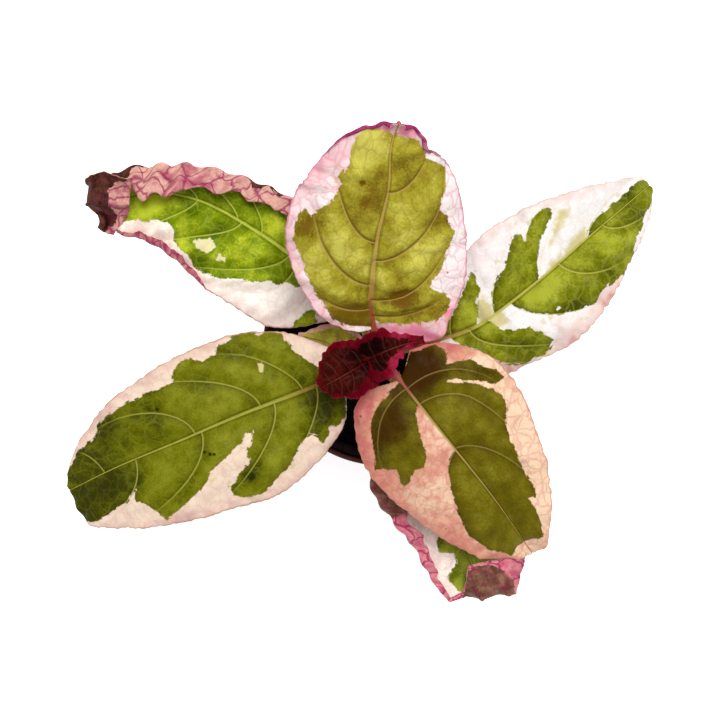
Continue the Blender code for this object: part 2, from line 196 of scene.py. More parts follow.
def pot_profile():
    """From the foot up the outside, over the lip and down the inside to the floor."""
    band_foot = POT_HEIGHT - BAND_HEIGHT
    lip_centre = (POT_RIM_RADIUS - LIP_RADIUS, POT_HEIGHT - LIP_RADIUS)
    foot_centre = (POT_BASE_RADIUS - POT_FOOT_BEVEL, POT_FOOT_BEVEL)
    ledge_centre = (POT_RIM_RADIUS - 2 * BAND_LEDGE, band_foot + BAND_LEDGE)
    corner_height = POT_FLOOR + POT_CORNER_RADIUS
    corner = (pot_wall_radius(corner_height) - POT_WALL - POT_CORNER_RADIUS, corner_height)
    outside = (*POT_WALL_RINGS, band_foot - BAND_SLOPES[0])
    inside = (band_foot, *reversed(POT_WALL_RINGS))
    profile = arc(foot_centre, POT_FOOT_BEVEL, -90, 0, 5)
    profile += [(pot_wall_radius(height), height) for height in outside]
    profile += arc(ledge_centre, BAND_LEDGE, -90, 0, 4)
    profile += arc(lip_centre, LIP_RADIUS, 0, 180, 11)
    profile += [(lip_centre[0] - LIP_RADIUS, band_foot + BAND_SLOPES[1])]
    profile += [(pot_wall_radius(height) - POT_WALL, height) for height in inside]
    profile += arc(corner, POT_CORNER_RADIUS, 0, -90, 5)
    return profile


def pot_plastic():
    """Dark plastic: fine grain, upright scuffs, dust that gathers on the band and a painted highlight
    along the lip.
    """
    finish = Finish("pot_plastic")
    place = finish.place()
    height = finish.parts(place)[2]
    highlight_from, highlight_to = (MM * (POT_HEIGHT - below) for below in LIP_HIGHLIGHT)
    scuffs = finish.noise(finish.vector("MULTIPLY", place, (1, 1, 0.12)), 900, 4)
    dusty = finish.level(height, MM * DUST_FOOT, MM * (POT_HEIGHT + 1))
    dust = finish.times(finish.noise(place, 70, 5), dusty)
    # The plastic is darker than the plastic itself, nearly black: its own dark red-brown and painted
    # shade for the inside of the pot under the leaves.
    colour = finish.mix(finish.level(scuffs, 0.35, 0.75), paint(26, 9, 6), paint(46, 16, 10))
    colour = finish.mix(finish.level(dust, 0.45, 0.8, 0.15), colour, paint(104, 68, 50))
    # Painted highlight: the top of the lip is lighter, where it catches the light.
    colour = finish.mix(finish.level(height, highlight_from, highlight_to, 0.7), colour, paint(96, 44, 30))
    grain = finish.noise(place, 2600, 2)
    relief = finish.plus(finish.times(grain, 0.05), finish.times(scuffs, 0.05))
    return finish.surface(colour, finish.ramp(scuffs, 0.3, 0.8, 0.4, 0.6), 0.2, relief)


def dress(piece, material, node):
    """Gives a finished piece its material, hangs it under the root and hides the CAD node it stands for.
    """
    piece.data.materials.clear()
    piece.data.materials.append(material)
    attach(piece, "root")
    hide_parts(node)


pot = turned("nursery_pot", pot_profile(), POT_STEPS)
bpy.ops.object.shade_smooth_by_angle(angle=math.radians(35))
dress(pot, pot_plastic(), "pot")


# Soil: damp black potting mix, pressed into the pot to 10 mm below the rim. Crumbs of peat and
# bark lie loose on it.
SOIL_GAP = 0.3           # from the floor, and from the wall at the top
SOIL_FOOT_GAP = 1.6      # from the wall at the foot
SOIL_TOP = 60.0
SOIL_FOOT = POT_FLOOR + SOIL_GAP
SOIL_EDGE = 0.8          # height of the slope at its edge
SOIL_RINGS = 26
SOIL_STEPS = 128
SOIL_LUMPS = 0.55        # height of the broad lumps, and the fine ones are half as high
LUMP_LENGTHS = (9.0, 2.5)
CRUMB_COUNT = 320
CRUMB_SIZES = (0.5, 1.7)
CRUMB_REACH = 35.0       # crumbs lie within this distance of the pot's axis
CRUMB_STRETCH = (0.6, 1.3)
CRUMB_ROUGHNESS = 0.3


def ripple(points, length, seed):
    """Smooth seeded noise, mostly from -1 to 1, over flat points, with bumps of that length."""
    draw = np.random.default_rng(seed)
    total = np.zeros(len(points))
    for _ in range(7):
        angle, phase = draw.uniform(0, 2 * math.pi, 2)
        pitch = 2 * math.pi / length * draw.uniform(0.6, 1.5)
        total += np.sin(pitch * (points[:, 0] * math.cos(angle) + points[:, 1] * math.sin(angle)) + phase)
    return total / 3


def points_of(piece):
    """A mesh's vertices in millimetres."""
    flat = np.empty(3 * len(piece.data.vertices))
    piece.data.vertices.foreach_get("co", flat)
    return flat.reshape(-1, 3) / MM


def move_points(piece, points):
    piece.data.vertices.foreach_set("co", (MM * points).ravel())
    piece.data.update()


def join(pieces):
    """Joins meshes into the first of them."""
    bpy.ops.object.select_all(action="DESELECT")
    for piece in pieces:
        piece.select_set(True)
    bpy.context.view_layer.objects.active = pieces[0]
    bpy.ops.object.join()
    return pieces[0]


def soil_profile():
    radius = pot_wall_radius(POT_HEIGHT - BAND_HEIGHT) - POT_WALL - SOIL_GAP
    foot_radius = pot_wall_radius(SOIL_FOOT) - POT_WALL - SOIL_FOOT_GAP
    rings = [(foot_radius, SOIL_FOOT), (radius, SOIL_TOP - SOIL_EDGE)]
    return rings + [(radius * share, SOIL_TOP) for share in np.linspace(0.99, 0.02, SOIL_RINGS)]


def soil_crumb(seed):
    """One crumb: a rough, stretched lump, partly sunk in the soil."""
    draw = np.random.default_rng(seed)
    radius = CRUMB_REACH * math.sqrt(draw.uniform(0.02, 0.9))
    angle = draw.uniform(0, 2 * math.pi)
    size = draw.uniform(*CRUMB_SIZES)
    bpy.ops.mesh.primitive_ico_sphere_add(subdivisions=2, radius=MM * size)
    crumb = bpy.context.object
    points = points_of(crumb)
    rough = ripple(points[:, :2] + points[:, 2:], 1.4 * size, seed)
    points *= 1 + CRUMB_ROUGHNESS * rough[:, None]
    points *= draw.uniform(*CRUMB_STRETCH, 3)
    points += (radius * math.cos(angle), radius * math.sin(angle), SOIL_TOP + 0.2 * size)
    move_points(crumb, points)
    return crumb


def peat():
    finish = Finish("peat")
    place = finish.place()
    clods = finish.noise(place, 260, 6)
    fibres = finish.cells(finish.vector("MULTIPLY", place, (1, 0.25, 1)), 900)
    # The peat is near black, darker than damp peat: its own dark colour and painted shade for the soil
    # under the leaves.
    colour = finish.mix(finish.level(clods, 0.35, 0.7), paint(4, 3, 2), paint(20, 14, 10))
    colour = finish.mix(finish.level(fibres, 0.10, 0.02, 0.4), colour, paint(86, 62, 42))
    roughness = finish.ramp(clods, 0.3, 0.7, 0.75, 0.95)
    return finish.surface(colour, roughness, 0.15, finish.times(clods, 0.9))


soil = turned("potting_soil", soil_profile(), SOIL_STEPS)
soil_points = points_of(soil)
broad, fine = (ripple(soil_points[:, :2], length, seed)
               for seed, length in enumerate(LUMP_LENGTHS, start=1))
on_top = soil_points[:, 2] > SOIL_TOP - SOIL_EDGE / 2
soil_points[:, 2] += np.where(on_top, SOIL_LUMPS * (broad + 0.5 * fine), 0)
move_points(soil, soil_points)
crumbs = [soil_crumb(seed) for seed in range(CRUMB_COUNT)]
soil = join([soil] + crumbs)
bpy.ops.object.shade_smooth()
dress(soil, peat(), "soil")


# Stem: one short, soft, round stem, reddish brown over green, swollen where each pair of large
# leaves grows from it. It comes up out of the soil, and from there on short hairs cover it.
STEM_PATH = [(-2.0, -1.0, 46.5), (-2.4, -1.4, 60.0), (-3.8, -2.3, 79.0), (-4.8, -3.0, 94.0),
             (-5.2, -3.4, 105.0), (-5.4, -3.8, 112.0)]
STEM_FOOT_RADIUS = 2.1
STEM_TOP_RADIUS = 1.3
NODE_HEIGHTS = (78.0, 93.0, 104.0)
NODE_SWELLING = 0.4
NODE_LENGTH = 1.6
STEM_RINGS = 90
BURIED_RINGS = 20        # of them, with no hairs
STEM_HAIRS = 260
HAIR_LENGTH = 0.8
HAIR_RADIUS = 0.05
HAIR_LEAN = 0.4
HAIR_ROOT = 0.95         # share of the tube's radius where a hair starts


def curve_through(rows, at):
    """Rows of numbers blended by a Catmull-Rom curve; at counts rows from 0."""
    rows = np.asarray(rows, dtype=float)
    last = len(rows) - 1
    rows = np.vstack([2 * rows[0] - rows[1], rows, 2 * rows[-1] - rows[-2]])
    at = np.clip(np.asarray(at, dtype=float), 0, last)
    index = np.minimum(at.astype(int), last - 1)
    t = (at - index)[..., None]
    before, start, end, after = (rows[index + k] for k in range(4))
    return 0.5 * (2 * start + (end - before) * t + (2 * before - 5 * start + 4 * end - after) * t ** 2
                  + (3 * start - before - 3 * end + after) * t ** 3)


def unit(vectors):
    return vectors / np.linalg.norm(vectors, axis=-1, keepdims=True)


def stem_radius(height):
    """Tapers upwards and swells at each node."""
    foot, top = STEM_PATH[0][2], STEM_PATH[-1][2]
    radius = STEM_FOOT_RADIUS + (STEM_TOP_RADIUS - STEM_FOOT_RADIUS) * (height - foot) / (top - foot)
    for node in NODE_HEIGHTS:
        radius += NODE_SWELLING * math.exp(-((height - node) / NODE_LENGTH) ** 2)
    return radius


def read_at(place, places, vectors):
    """Vectors known at some places along a line, read off at others."""
    return np.stack([np.interp(place, places, values) for values in vectors.T], axis=-1)


def stem_point(height):
    """Centre of the stem at a height."""
    fine = curve_through(STEM_PATH, np.linspace(0, len(STEM_PATH) - 1, 200))
    return read_at(height, fine[:, 2], fine)


def tube(name, points, radii, roundness=4):
    """A round tube along points, with its own radius at each of them and closed ends."""
    bpy.ops.curve.primitive_nurbs_path_add()
    path = bpy.context.object
    path.name = name
    path.data.splines.clear()
    spline = path.data.splines.new("POLY")
    spline.points.add(len(points) - 1)
    for place, point, radius in zip(spline.points, points, radii):
        place.co = (*(MM * value for value in point), 1)
        place.radius = radius
    path.data.bevel_depth = MM
    path.data.bevel_resolution = roundness
    path.data.use_fill_caps = True
    bpy.ops.object.convert(target="MESH")
    bpy.ops.object.shade_smooth()
    return bpy.context.object


def hairs(name, points, radii, count, seed):
    """Short hairs that stand out all round a tube, as thin four-sided spikes."""
    draw = np.random.default_rng(seed)
    points = np.asarray(points, dtype=float)
    corners, faces = [], []
    for _ in range(count):
        at = draw.uniform(0, len(points) - 1.001)
        k = int(at)
        centre = points[k] + (at - k) * (points[k + 1] - points[k])
        ahead = unit(points[k + 1] - points[k])
        out = unit(np.cross(ahead, draw.normal(size=3)))
        side = np.cross(ahead, out)
        root = centre + out * radii[k] * HAIR_ROOT
        tip = root + (out + HAIR_LEAN * draw.normal(size=3)) * HAIR_LENGTH * draw.uniform(0.5, 1)
        first = len(corners)
        corners += [root + HAIR_RADIUS * offset for offset in (side, ahead, -side, -ahead)] + [tip]
        faces += [(first + i, first + (i + 1) % 4, first + 4) for i in range(4)]
        faces.append((first + 3, first + 2, first + 1, first))
    mesh = bpy.data.meshes.new(name)
    mesh.from_pydata([tuple(MM * corner) for corner in corners], [], faces)
    piece = bpy.data.objects.new(name, mesh)
    bpy.context.collection.objects.link(piece)
    return piece


def stem_skin():
    finish = Finish("stem_skin")
    place = finish.place()
    flecks = finish.noise(place, 900, 4)
    streaks = finish.noise(finish.vector("MULTIPLY", place, (1, 1, 0.15)), 700, 3)
    red = finish.plus(finish.ramp(finish.parts(place)[2], 0.055, 0.115, 0.3, 0.9),
                      finish.ramp(streaks, 0.35, 0.65, -0.4, 0.4))
    colour = finish.mix(finish.level(red, 0, 1), paint(122, 108, 52), paint(128, 44, 42))
    colour = finish.mix(finish.level(flecks, 0.55, 0.75, 0.6), colour, paint(176, 132, 96))
    return finish.surface(colour, 0.5, 0.5, finish.times(streaks, 0.25))


heights = np.linspace(STEM_PATH[0][2], STEM_PATH[-1][2], STEM_RINGS)
stem_line = [stem_point(height) for height in heights]
stem_radii = [stem_radius(height) for height in heights]
stem = tube("stem_with_hairs", stem_line, stem_radii, 6)
hairy_line, hairy_radii = stem_line[BURIED_RINGS:], stem_radii[BURIED_RINGS:]
stem = join([stem, hairs("stem_hairs", hairy_line, hairy_radii, STEM_HAIRS, 5)])
dress(stem, stem_skin(), "stem")


# Leaves: thin, soft blades, puckered between their side veins, on short hairy petioles. All but the
# youngest are green along their veins and cream to pink elsewhere. Their undersides are pink to
# purple, and some margins roll over.
BLADE_THICKNESS = 0.4
MIDRIB_STEPS = 120       # points that a midrib is sampled at
FAN = 0.6                # how much the margin counts in spacing the blade's points
VEIN_CURVE = 1.6         # over 1, a side vein bends towards the tip as it nears the margin
VEIN_REACH = 0.92        # share of the way to the margin where a side vein ends
ROLL_RADII = (0.5, 1.7)  # least and most
ROLL_TIGHTNESS = 0.25    # between those, a roll's radius is this share of its width
ROLL_TURN = math.radians(158)
RUFFLE = (0.07, 7.5)     # how much the width of a roll varies, and how often
SWAY = (0.05, 10.5)      # the same for the margin that it rolls over
FOLD = 0.06              # how high a half blade arches, as a share of its width
MARGIN_WAVE = 0.7        # height of the margin's waves where a half blade has its full width
FULL_WIDTH = 15.0
QUILT = 0.95             # how high the blade swells between its side veins
QUILT_SLOPE = 2.6        # width of the slope beside a vein
QUILT_FADE = 3.0         # width of the slopes beside the midrib and at the margin
PUCKER = 0.35            # share of the quilting that varies from place to place
PUCKER_LENGTH = 7.0
VEIN_GROOVE = (0.25, 0.5)  # depth and width
MIDRIB_GROOVE = (0.3, 0.8)  # depth, and the rib's width as a share of the groove's
MIDRIB_RADII = (0.95, 0.2)  # of the rib under the blade, at its base and its tip
MIDRIB_TAPER = 1.5
SIDE_RIB = (0.3, 0.45)   # height and width
EDGE_SCALE = 14.0        # a half blade counts as this wide for what fades out at its edge
RIB_FADE = 2.0           # ribs fade out over this width at the edge
NET_PITCH = 3.3          # size of the mesh of small veins
UNDER_PITCH = 4.8        # and of the bolder mesh that shows underneath
STEP_PITCH = 1.3         # size of the steps along the edge of a green patch
FINE_NET = 2.6           # cells of the finest mesh to one of the first, along a line
NET_LINES = (0.11, 0.12, 0.09)  # widths of the lines of the first, finest and bolder mesh, in cells
NET_WARP = 3.2           # how far the meshes are pushed about
STEP_WARP = 1.5
BLADE_NOISE = ((0.09, 2), (0.35, 4), (1.6, 4))  # scale and detail, from broad to fine
VEIN_LINE = (0.30, 0.10)  # a line sets in and is full at these distances
RIB_LINE = (1.0, 0.6)    # the same, in radii of the rib
MARGIN_LINE = (0.4, 0.1)
GREEN_EDGE = 0.2         # softness of the edge of a green patch
FLECKS = (0.965, 0.98)   # cells of the cream whose draw passes these turn into pale flecks
FAR = 50.0               # further than any mark on a leaf
PAST_MIDRIB = -12.0      # how far a patch that starts on the midrib runs over it
PETIOLE_SWEEP = 0.4      # share of its length over which it bends into the midrib
PETIOLE_SINK = 0.4       # depth of its foot in the stem
PETIOLE_RINGS = 14
RUN_ON_RINGS = 7         # more, under the midrib
PETIOLE_SIZES = (1.15, 1.0, 0.95, 0.5)  # shares of its radius: foot, blade, then on under the midrib
PETIOLE_DEPTH = (0.5, 0.05)  # of its middle below the midrib, and what each ring there adds
TOP_SPREAD = 0.7         # from the middle of the stem's top to the feet of the youngest pair
HAIRS_PER_MM = 5

# In a leaf's tables "midrib" lists points in space. "left" and "right" list side vein rows, as in
# the CAD: (leaves the midrib at, meets the margin at, margin's distance from the midrib, its rise,
# any width rolled over beyond it). "green" lists the outlines of a half's green patches, "pale"
# those of yellower cream and "spots" cream blots in the green, as (row, percent of the way from the
# midrib to the margin). "veins" lists (row where a side vein leaves the midrib, rows that it climbs
# on its way out). "dusk" lists soft dark washes of painted shade, small strong ones being real brown
# flecks, and "blush" rosy washes: (row, percent, radius, strength). A strength below 0 takes some of
# that away, and in a dark wash it is painted light.
# "node" is the height where a leaf grows from the stem, "petiole" its stalk's radius and "grid" the
# columns and lines of its blade. "rib" and "quilt" scale its midrib and its quilting, and "frill"
# and "crinkle" are how far its margin waves up and down, and in and out.
# These values are what the leaves have in common, and a leaf's own section changes some of them.
# Colours are as paint takes them.
LEAF = dict(petiole=1.1, rib=1, quilt=1, frill=0.3, frill_length=6, crinkle=0.2, crinkle_length=3)
LOOK = dict(
    under_dark=(64, 36, 22), under_light=(108, 74, 58), under_pink=(214, 150, 152),
    under_rose=(186, 100, 116), under_net=(150, 36, 88), under_rib=(196, 120, 118), rose=(205, 90, 104),
    spot=(120, 72, 30), deep=(38, 34, 2), green_net=(96, 84, 20), net_green=0.25, net_strength=0.24,
    under_veins=0.3, shade=0.4, steps=0.7, vein_strength=0.8, rib_strength=0.9, gloss=0.05,
    pale=(206, 196, 116))


def midrib_frames(points):
    """The midrib sampled evenly, with its forward, left and up directions."""
    dense = curve_through(points, np.linspace(0, len(points) - 1, 12 * MIDRIB_STEPS))
    length = np.concatenate([[0], np.cumsum(np.linalg.norm(np.diff(dense, axis=0), axis=1))])
    along = np.linspace(0, length[-1], MIDRIB_STEPS)
    centre = read_at(along, length, dense)
    forward = unit(np.gradient(centre, axis=0))
    up = np.zeros_like(centre)
    carried = np.array([0.0, 0.0, 1.0])
    for k in range(MIDRIB_STEPS):
        carried = unit(carried - carried.dot(forward[k]) * forward[k])
        up[k] = carried
    return along, centre, forward, np.cross(up, forward), up


def half_rows(leaf, half):
    """A half's side vein rows, with nothing rolled over where a row doesn't say."""
    return np.array([row + (0,) * (5 - len(row)) for row in leaf[half]], dtype=float)


def half_blade(rows, vein, share):
    """Where points of one half blade lie: along the midrib, out from it, up, and unrolled reach."""
    start = np.interp(vein, np.arange(len(rows)), rows[:, 0])
    along, width, rise, roll = curve_through(rows[:, 1:], vein).T
    roll = np.maximum(roll, 0) * (1 + RUFFLE[0] * np.sin(RUFFLE[1] * vein))
    width = width + SWAY[0] * roll * np.sin(SWAY[1] * vein)
    radius = np.clip(ROLL_TIGHTNESS * roll, *ROLL_RADII)
    reach = share * (width + roll)
    flat = np.minimum(reach / width, 1)
    turn = np.clip((reach - width) / radius, 0, ROLL_TURN)
    beyond = np.maximum(reach - width - radius * ROLL_TURN, 0)
    out_along = start + (along - start) * flat ** VEIN_CURVE
    out_across = width * flat + radius * np.sin(turn) + beyond * math.cos(ROLL_TURN)
    out_rise = rise * flat ** 2 + FOLD * width * np.sin(math.pi * flat)
    full = np.minimum(width / FULL_WIDTH, 1)
    out_rise += MARGIN_WAVE * full * np.sin(2 * math.pi * vein) * flat ** 3
    out_rise += radius * (1 - np.cos(turn)) + beyond * math.sin(ROLL_TURN)
    return out_along, out_across, out_rise, reach


def near_path(points, path):
    """Distance of flat points from a path, positive on its left, and the share of it passed."""
    best = np.full(len(points), np.inf)
    signed = np.zeros(len(points))
    passed = np.zeros(len(points))
    for k, (start, end) in enumerate(zip(path[:-1], path[1:])):
        run = end - start
        offset = points - start
        t = np.clip(offset @ run / max(run @ run, 1e-9), 0, 1)
        gap = offset - t[:, None] * run
        distance = np.hypot(gap[:, 0], gap[:, 1])
        closer = distance < best
        side = np.where(run[0] * offset[:, 1] - run[1] * offset[:, 0] < 0, -1, 1)
        best = np.where(closer, distance, best)
        signed = np.where(closer, distance * side, signed)
        passed = np.where(closer, (k + t) / (len(path) - 1), passed)
    return signed, passed


def depth_inside(points, outline):
    """Distance of flat points from a closed outline, positive inside it."""
    closed = np.vstack([outline, outline[:1]])
    inside = np.zeros(len(points), dtype=bool)
    for (x0, y0), (x1, y1) in zip(closed[:-1], closed[1:]):
        if y0 != y1:
            crosses = (points[:, 1] < y0) != (points[:, 1] < y1)
            inside ^= crosses & (points[:, 0] < x0 + (points[:, 1] - y0) * (x1 - x0) / (y1 - y0))
    distance = np.abs(near_path(points, closed)[0])
    return np.where(inside, distance, -distance)


def plan(rows, vein, share):
    """Flat places, in millimetres, of marks on a half leaf."""
    along, _, _, reach = half_blade(rows, vein, share)
    return np.column_stack([along, reach])


def patch_depth(points, rows, outlines):
    """How deep flat points lie inside the nearest of several patches, which may cross the midrib."""
    depth = np.full(len(points), -FAR)
    for outline in outlines:
        vein, percent = np.transpose(outline)
        flat = plan(rows, vein, percent / 100)
        if percent[0] == 0:
            flat = np.vstack([flat, (flat[-1, 0], PAST_MIDRIB), (flat[0, 0], PAST_MIDRIB)])
        depth = np.maximum(depth, depth_inside(points, flat))
    return depth


def side_veins(points, rows, veins):
    """Signed distance to the nearest side vein, and how far out along it that is."""
    nearest, passed = np.full(len(points), FAR), np.ones(len(points))
    share = np.linspace(0, VEIN_REACH, 14)
    for row, climb in veins:
        distance, along = near_path(points, plan(rows, row + climb * share ** 2, share))
        closer = np.abs(distance) < np.abs(nearest)
        nearest = np.where(closer, distance, nearest)
        passed = np.where(closer, along, passed)
    return nearest, passed


def washes(points, rows, marks):
    """Sum of soft round washes over flat points."""
    total = np.zeros(len(points))
    for row, percent, radius, strength in marks:
        away = points - plan(rows, np.array([row]), np.array([percent / 100]))
        total += strength * np.exp(-(away ** 2).sum(axis=1) / radius ** 2)
    return total


def stations(leaf, count):
    """Distances along the midrib, closer together where the margin fans out."""
    samples = 400
    starts = np.linspace(0, leaf["left"][-1][0], samples)
    spread = starts.copy()
    for half in ("left", "right"):
        rows = half_rows(leaf, half)
        vein = np.interp(starts, rows[:, 0], np.arange(len(rows)))
        spread += FAN * np.maximum.accumulate(half_blade(rows, vein, np.ones(samples))[0])
    return np.interp(np.linspace(spread[0], spread[-1], count), spread, starts)


def set_attribute(piece, name, *values):
    """Stores three numbers at each point of a mesh."""
    made = piece.data.attributes.new(name, "FLOAT_VECTOR", "POINT")
    made.data.foreach_set("vector", np.column_stack(values).astype(np.float32).ravel())


def blade_fields(leaf, start, share, is_left):
    """What each point of the grid is: its place on the half leaf, its veins and its markings."""
    fields = np.zeros((10, len(start)))
    for half, chosen, sign in (("left", is_left, 1), ("right", ~is_left, -1)):
        rows = half_rows(leaf, half)
        vein = np.interp(start[chosen], rows[:, 0], np.arange(len(rows)))
        along, across, rise, reach = half_blade(rows, vein, share[chosen])
        flat = np.column_stack([along, reach])
        nearest, passed = side_veins(flat, rows, leaf["veins_" + half])
        green, spots, pale = (patch_depth(flat, rows, leaf.get(kind + half, []))
                              for kind in ("green_", "spots_", "pale_"))
        shade_and_flecks, blush = (washes(flat, rows, leaf.get(kind + half, [])) for kind in ("shade_and_flecks_", "blush_"))
        fields[:, chosen] = (along, sign * across, rise, sign * reach, nearest, passed,
                             np.minimum(green, -spots), pale, shade_and_flecks, blush)
    return fields


def bell(distance, width):
    """1 at a line, falling smoothly to 0 beyond that width."""
    return np.exp(-(distance / width) ** 2)


def relief(leaf, rise, flat, share, nearest, strength, from_midrib, edge):
    """The rise of a blade with its quilting, its frilled edge and the grooves over its veins."""
    seed = leaf["seed"]
    away = np.abs(nearest)
    quilt = leaf["quilt"] * QUILT * np.minimum(edge / QUILT_FADE, 1) ** 0.5
    rise = rise + quilt * (1 - bell(away, QUILT_SLOPE)) * (1 - bell(flat[:, 1], QUILT_FADE))
    rise += quilt * PUCKER * ripple(flat, PUCKER_LENGTH, seed) * np.minimum(away / QUILT_FADE, 1)
    rise += leaf["frill"] * share ** 3 * ripple(flat, leaf["frill_length"], seed + 1)
    rise -= VEIN_GROOVE[0] * strength * bell(away, VEIN_GROOVE[1])
    return rise - MIDRIB_GROOVE[0] * bell(from_midrib * MIDRIB_GROOVE[1], 1)


def lay_out(leaf, along, across, rise):
    """Points in space from their places along, across and above a leaf's curved midrib."""
    line_along, *frames = midrib_frames(leaf["midrib"])
    reached = np.clip(along, 0, line_along[-1])
    centre, forward, left, up = (read_at(reached, line_along, vectors) for vectors in frames)
    points = centre + (along - reached)[:, None] * forward + across[:, None] * left
    return points + rise[:, None] * up


def give_thickness(blade):
    """Adds the underside, whose points follow the top's in the same order; gives every normal."""
    thicken = blade.modifiers.new("thickness", "SOLIDIFY")
    thicken.thickness = MM * BLADE_THICKNESS
    thicken.offset = -1
    bpy.ops.object.modifier_apply(modifier=thicken.name)
    normals = np.empty(3 * len(blade.data.vertices))
    blade.data.vertex_normals.foreach_get("vector", normals)
    return normals.reshape(-1, 3)


def make_blade(name, leaf):
    """The blade as a fine grid: shaped over its midrib, quilted, veined and given its thickness."""
    columns, lines = leaf["grid"]
    bpy.ops.mesh.primitive_grid_add(x_subdivisions=columns, y_subdivisions=lines, size=2)
    blade = bpy.context.object
    blade.name = name
    grid = points_of(blade) * MM
    start = np.interp((grid[:, 1] + 1) / 2, np.linspace(0, 1, lines), stations(leaf, lines))
    share = np.abs(grid[:, 0])
    fields = blade_fields(leaf, start, share, grid[:, 0] < 0)
    along, across, rise, reach, nearest, passed, green, pale, shade_and_flecks, blush = fields
    flat = np.column_stack([along, reach])
    to_tip = np.clip(1 - along / leaf["left"][-1][0], 0, 1) ** MIDRIB_TAPER
    rib = (MIDRIB_RADII[1] + (MIDRIB_RADII[0] - MIDRIB_RADII[1]) * to_tip) * leaf["rib"]
    from_midrib = np.abs(reach) / rib
    strength = 1 - passed ** 2
    edge = (1 - share) * EDGE_SCALE
    rise = relief(leaf, rise, flat, share, nearest, strength, from_midrib, edge)
    crinkle = leaf["crinkle"] * share ** 8 * ripple(flat, leaf["crinkle_length"], leaf["seed"] + 2)
    across = across + np.sign(across) * crinkle
    move_points(blade, lay_out(leaf, along, across, rise + BLADE_THICKNESS / 2))

    normals = give_thickness(blade)
    under = np.repeat([0.0, 1.0], len(share))
    along, reach, nearest, strength, from_midrib, green, pale, edge, rib, shade_and_flecks, blush = np.tile(
        [along, reach, nearest, strength, from_midrib, green, pale, edge, rib, shade_and_flecks, blush], 2)
    ribs = rib * np.sqrt(np.clip(1 - from_midrib ** 2, 0, 1))
    ribs = np.maximum(ribs, SIDE_RIB[0] * strength * bell(nearest, SIDE_RIB[1]))
    ribs *= under * np.minimum(edge / RIB_FADE, 1)
    move_points(blade, points_of(blade) + normals * ribs[:, None])
    set_attribute(blade, "leaf_place", along, reach, under)
    set_attribute(blade, "leaf_veins", nearest, np.abs(nearest), strength)
    set_attribute(blade, "leaf_green", green, pale, edge)
    set_attribute(blade, "leaf_wash", shade_and_flecks, blush, from_midrib)
    bpy.ops.object.shade_smooth()
    return blade


def make_petiole(leaf):
    """The stalk, from the stem's side or top to the first few millimetres of the midrib."""
    _, centre, forward, _, up = midrib_frames(leaf["midrib"])
    base = centre[0]
    height = min(leaf["node"], STEM_PATH[-1][2])
    outward = unit((base - stem_point(height)) * (1, 1, 0))
    start = stem_point(height) + outward * (stem_radius(height) - PETIOLE_SINK)
    if leaf["node"] > height:
        start = stem_point(height) + outward * TOP_SPREAD - (0, 0, PETIOLE_SINK)
    length = np.linalg.norm(base - start)
    bend = base - forward[0] * PETIOLE_SWEEP * length
    depth, deeper = PETIOLE_DEPTH
    line = [(1 - t) ** 2 * start + 2 * t * (1 - t) * bend + t ** 2 * (base - depth * up[0])
            for t in np.linspace(0, 1, PETIOLE_RINGS)]
    line += [centre[k] - (depth + deeper * k) * up[k] for k in range(1, RUN_ON_RINGS + 1)]
    foot, end, after, last = (leaf["petiole"] * size for size in PETIOLE_SIZES)
    radii = [*np.linspace(foot, end, PETIOLE_RINGS), *np.linspace(after, last, RUN_ON_RINGS)]
    stalk = tube("petiole", line, radii)
    free_line, free_radii = line[:PETIOLE_RINGS], radii[:PETIOLE_RINGS]
    count = int(HAIRS_PER_MM * length)
    stalk = join([stalk, hairs("petiole_hairs", free_line, free_radii, count, leaf["seed"])])
    # What the blade stores and the stalk doesn't counts as 0, so it is coloured like the midrib.
    ones = np.ones(len(stalk.data.vertices))
    set_attribute(stalk, "leaf_green", 5 * ones, -FAR * ones, 5 * ones)
    return stalk


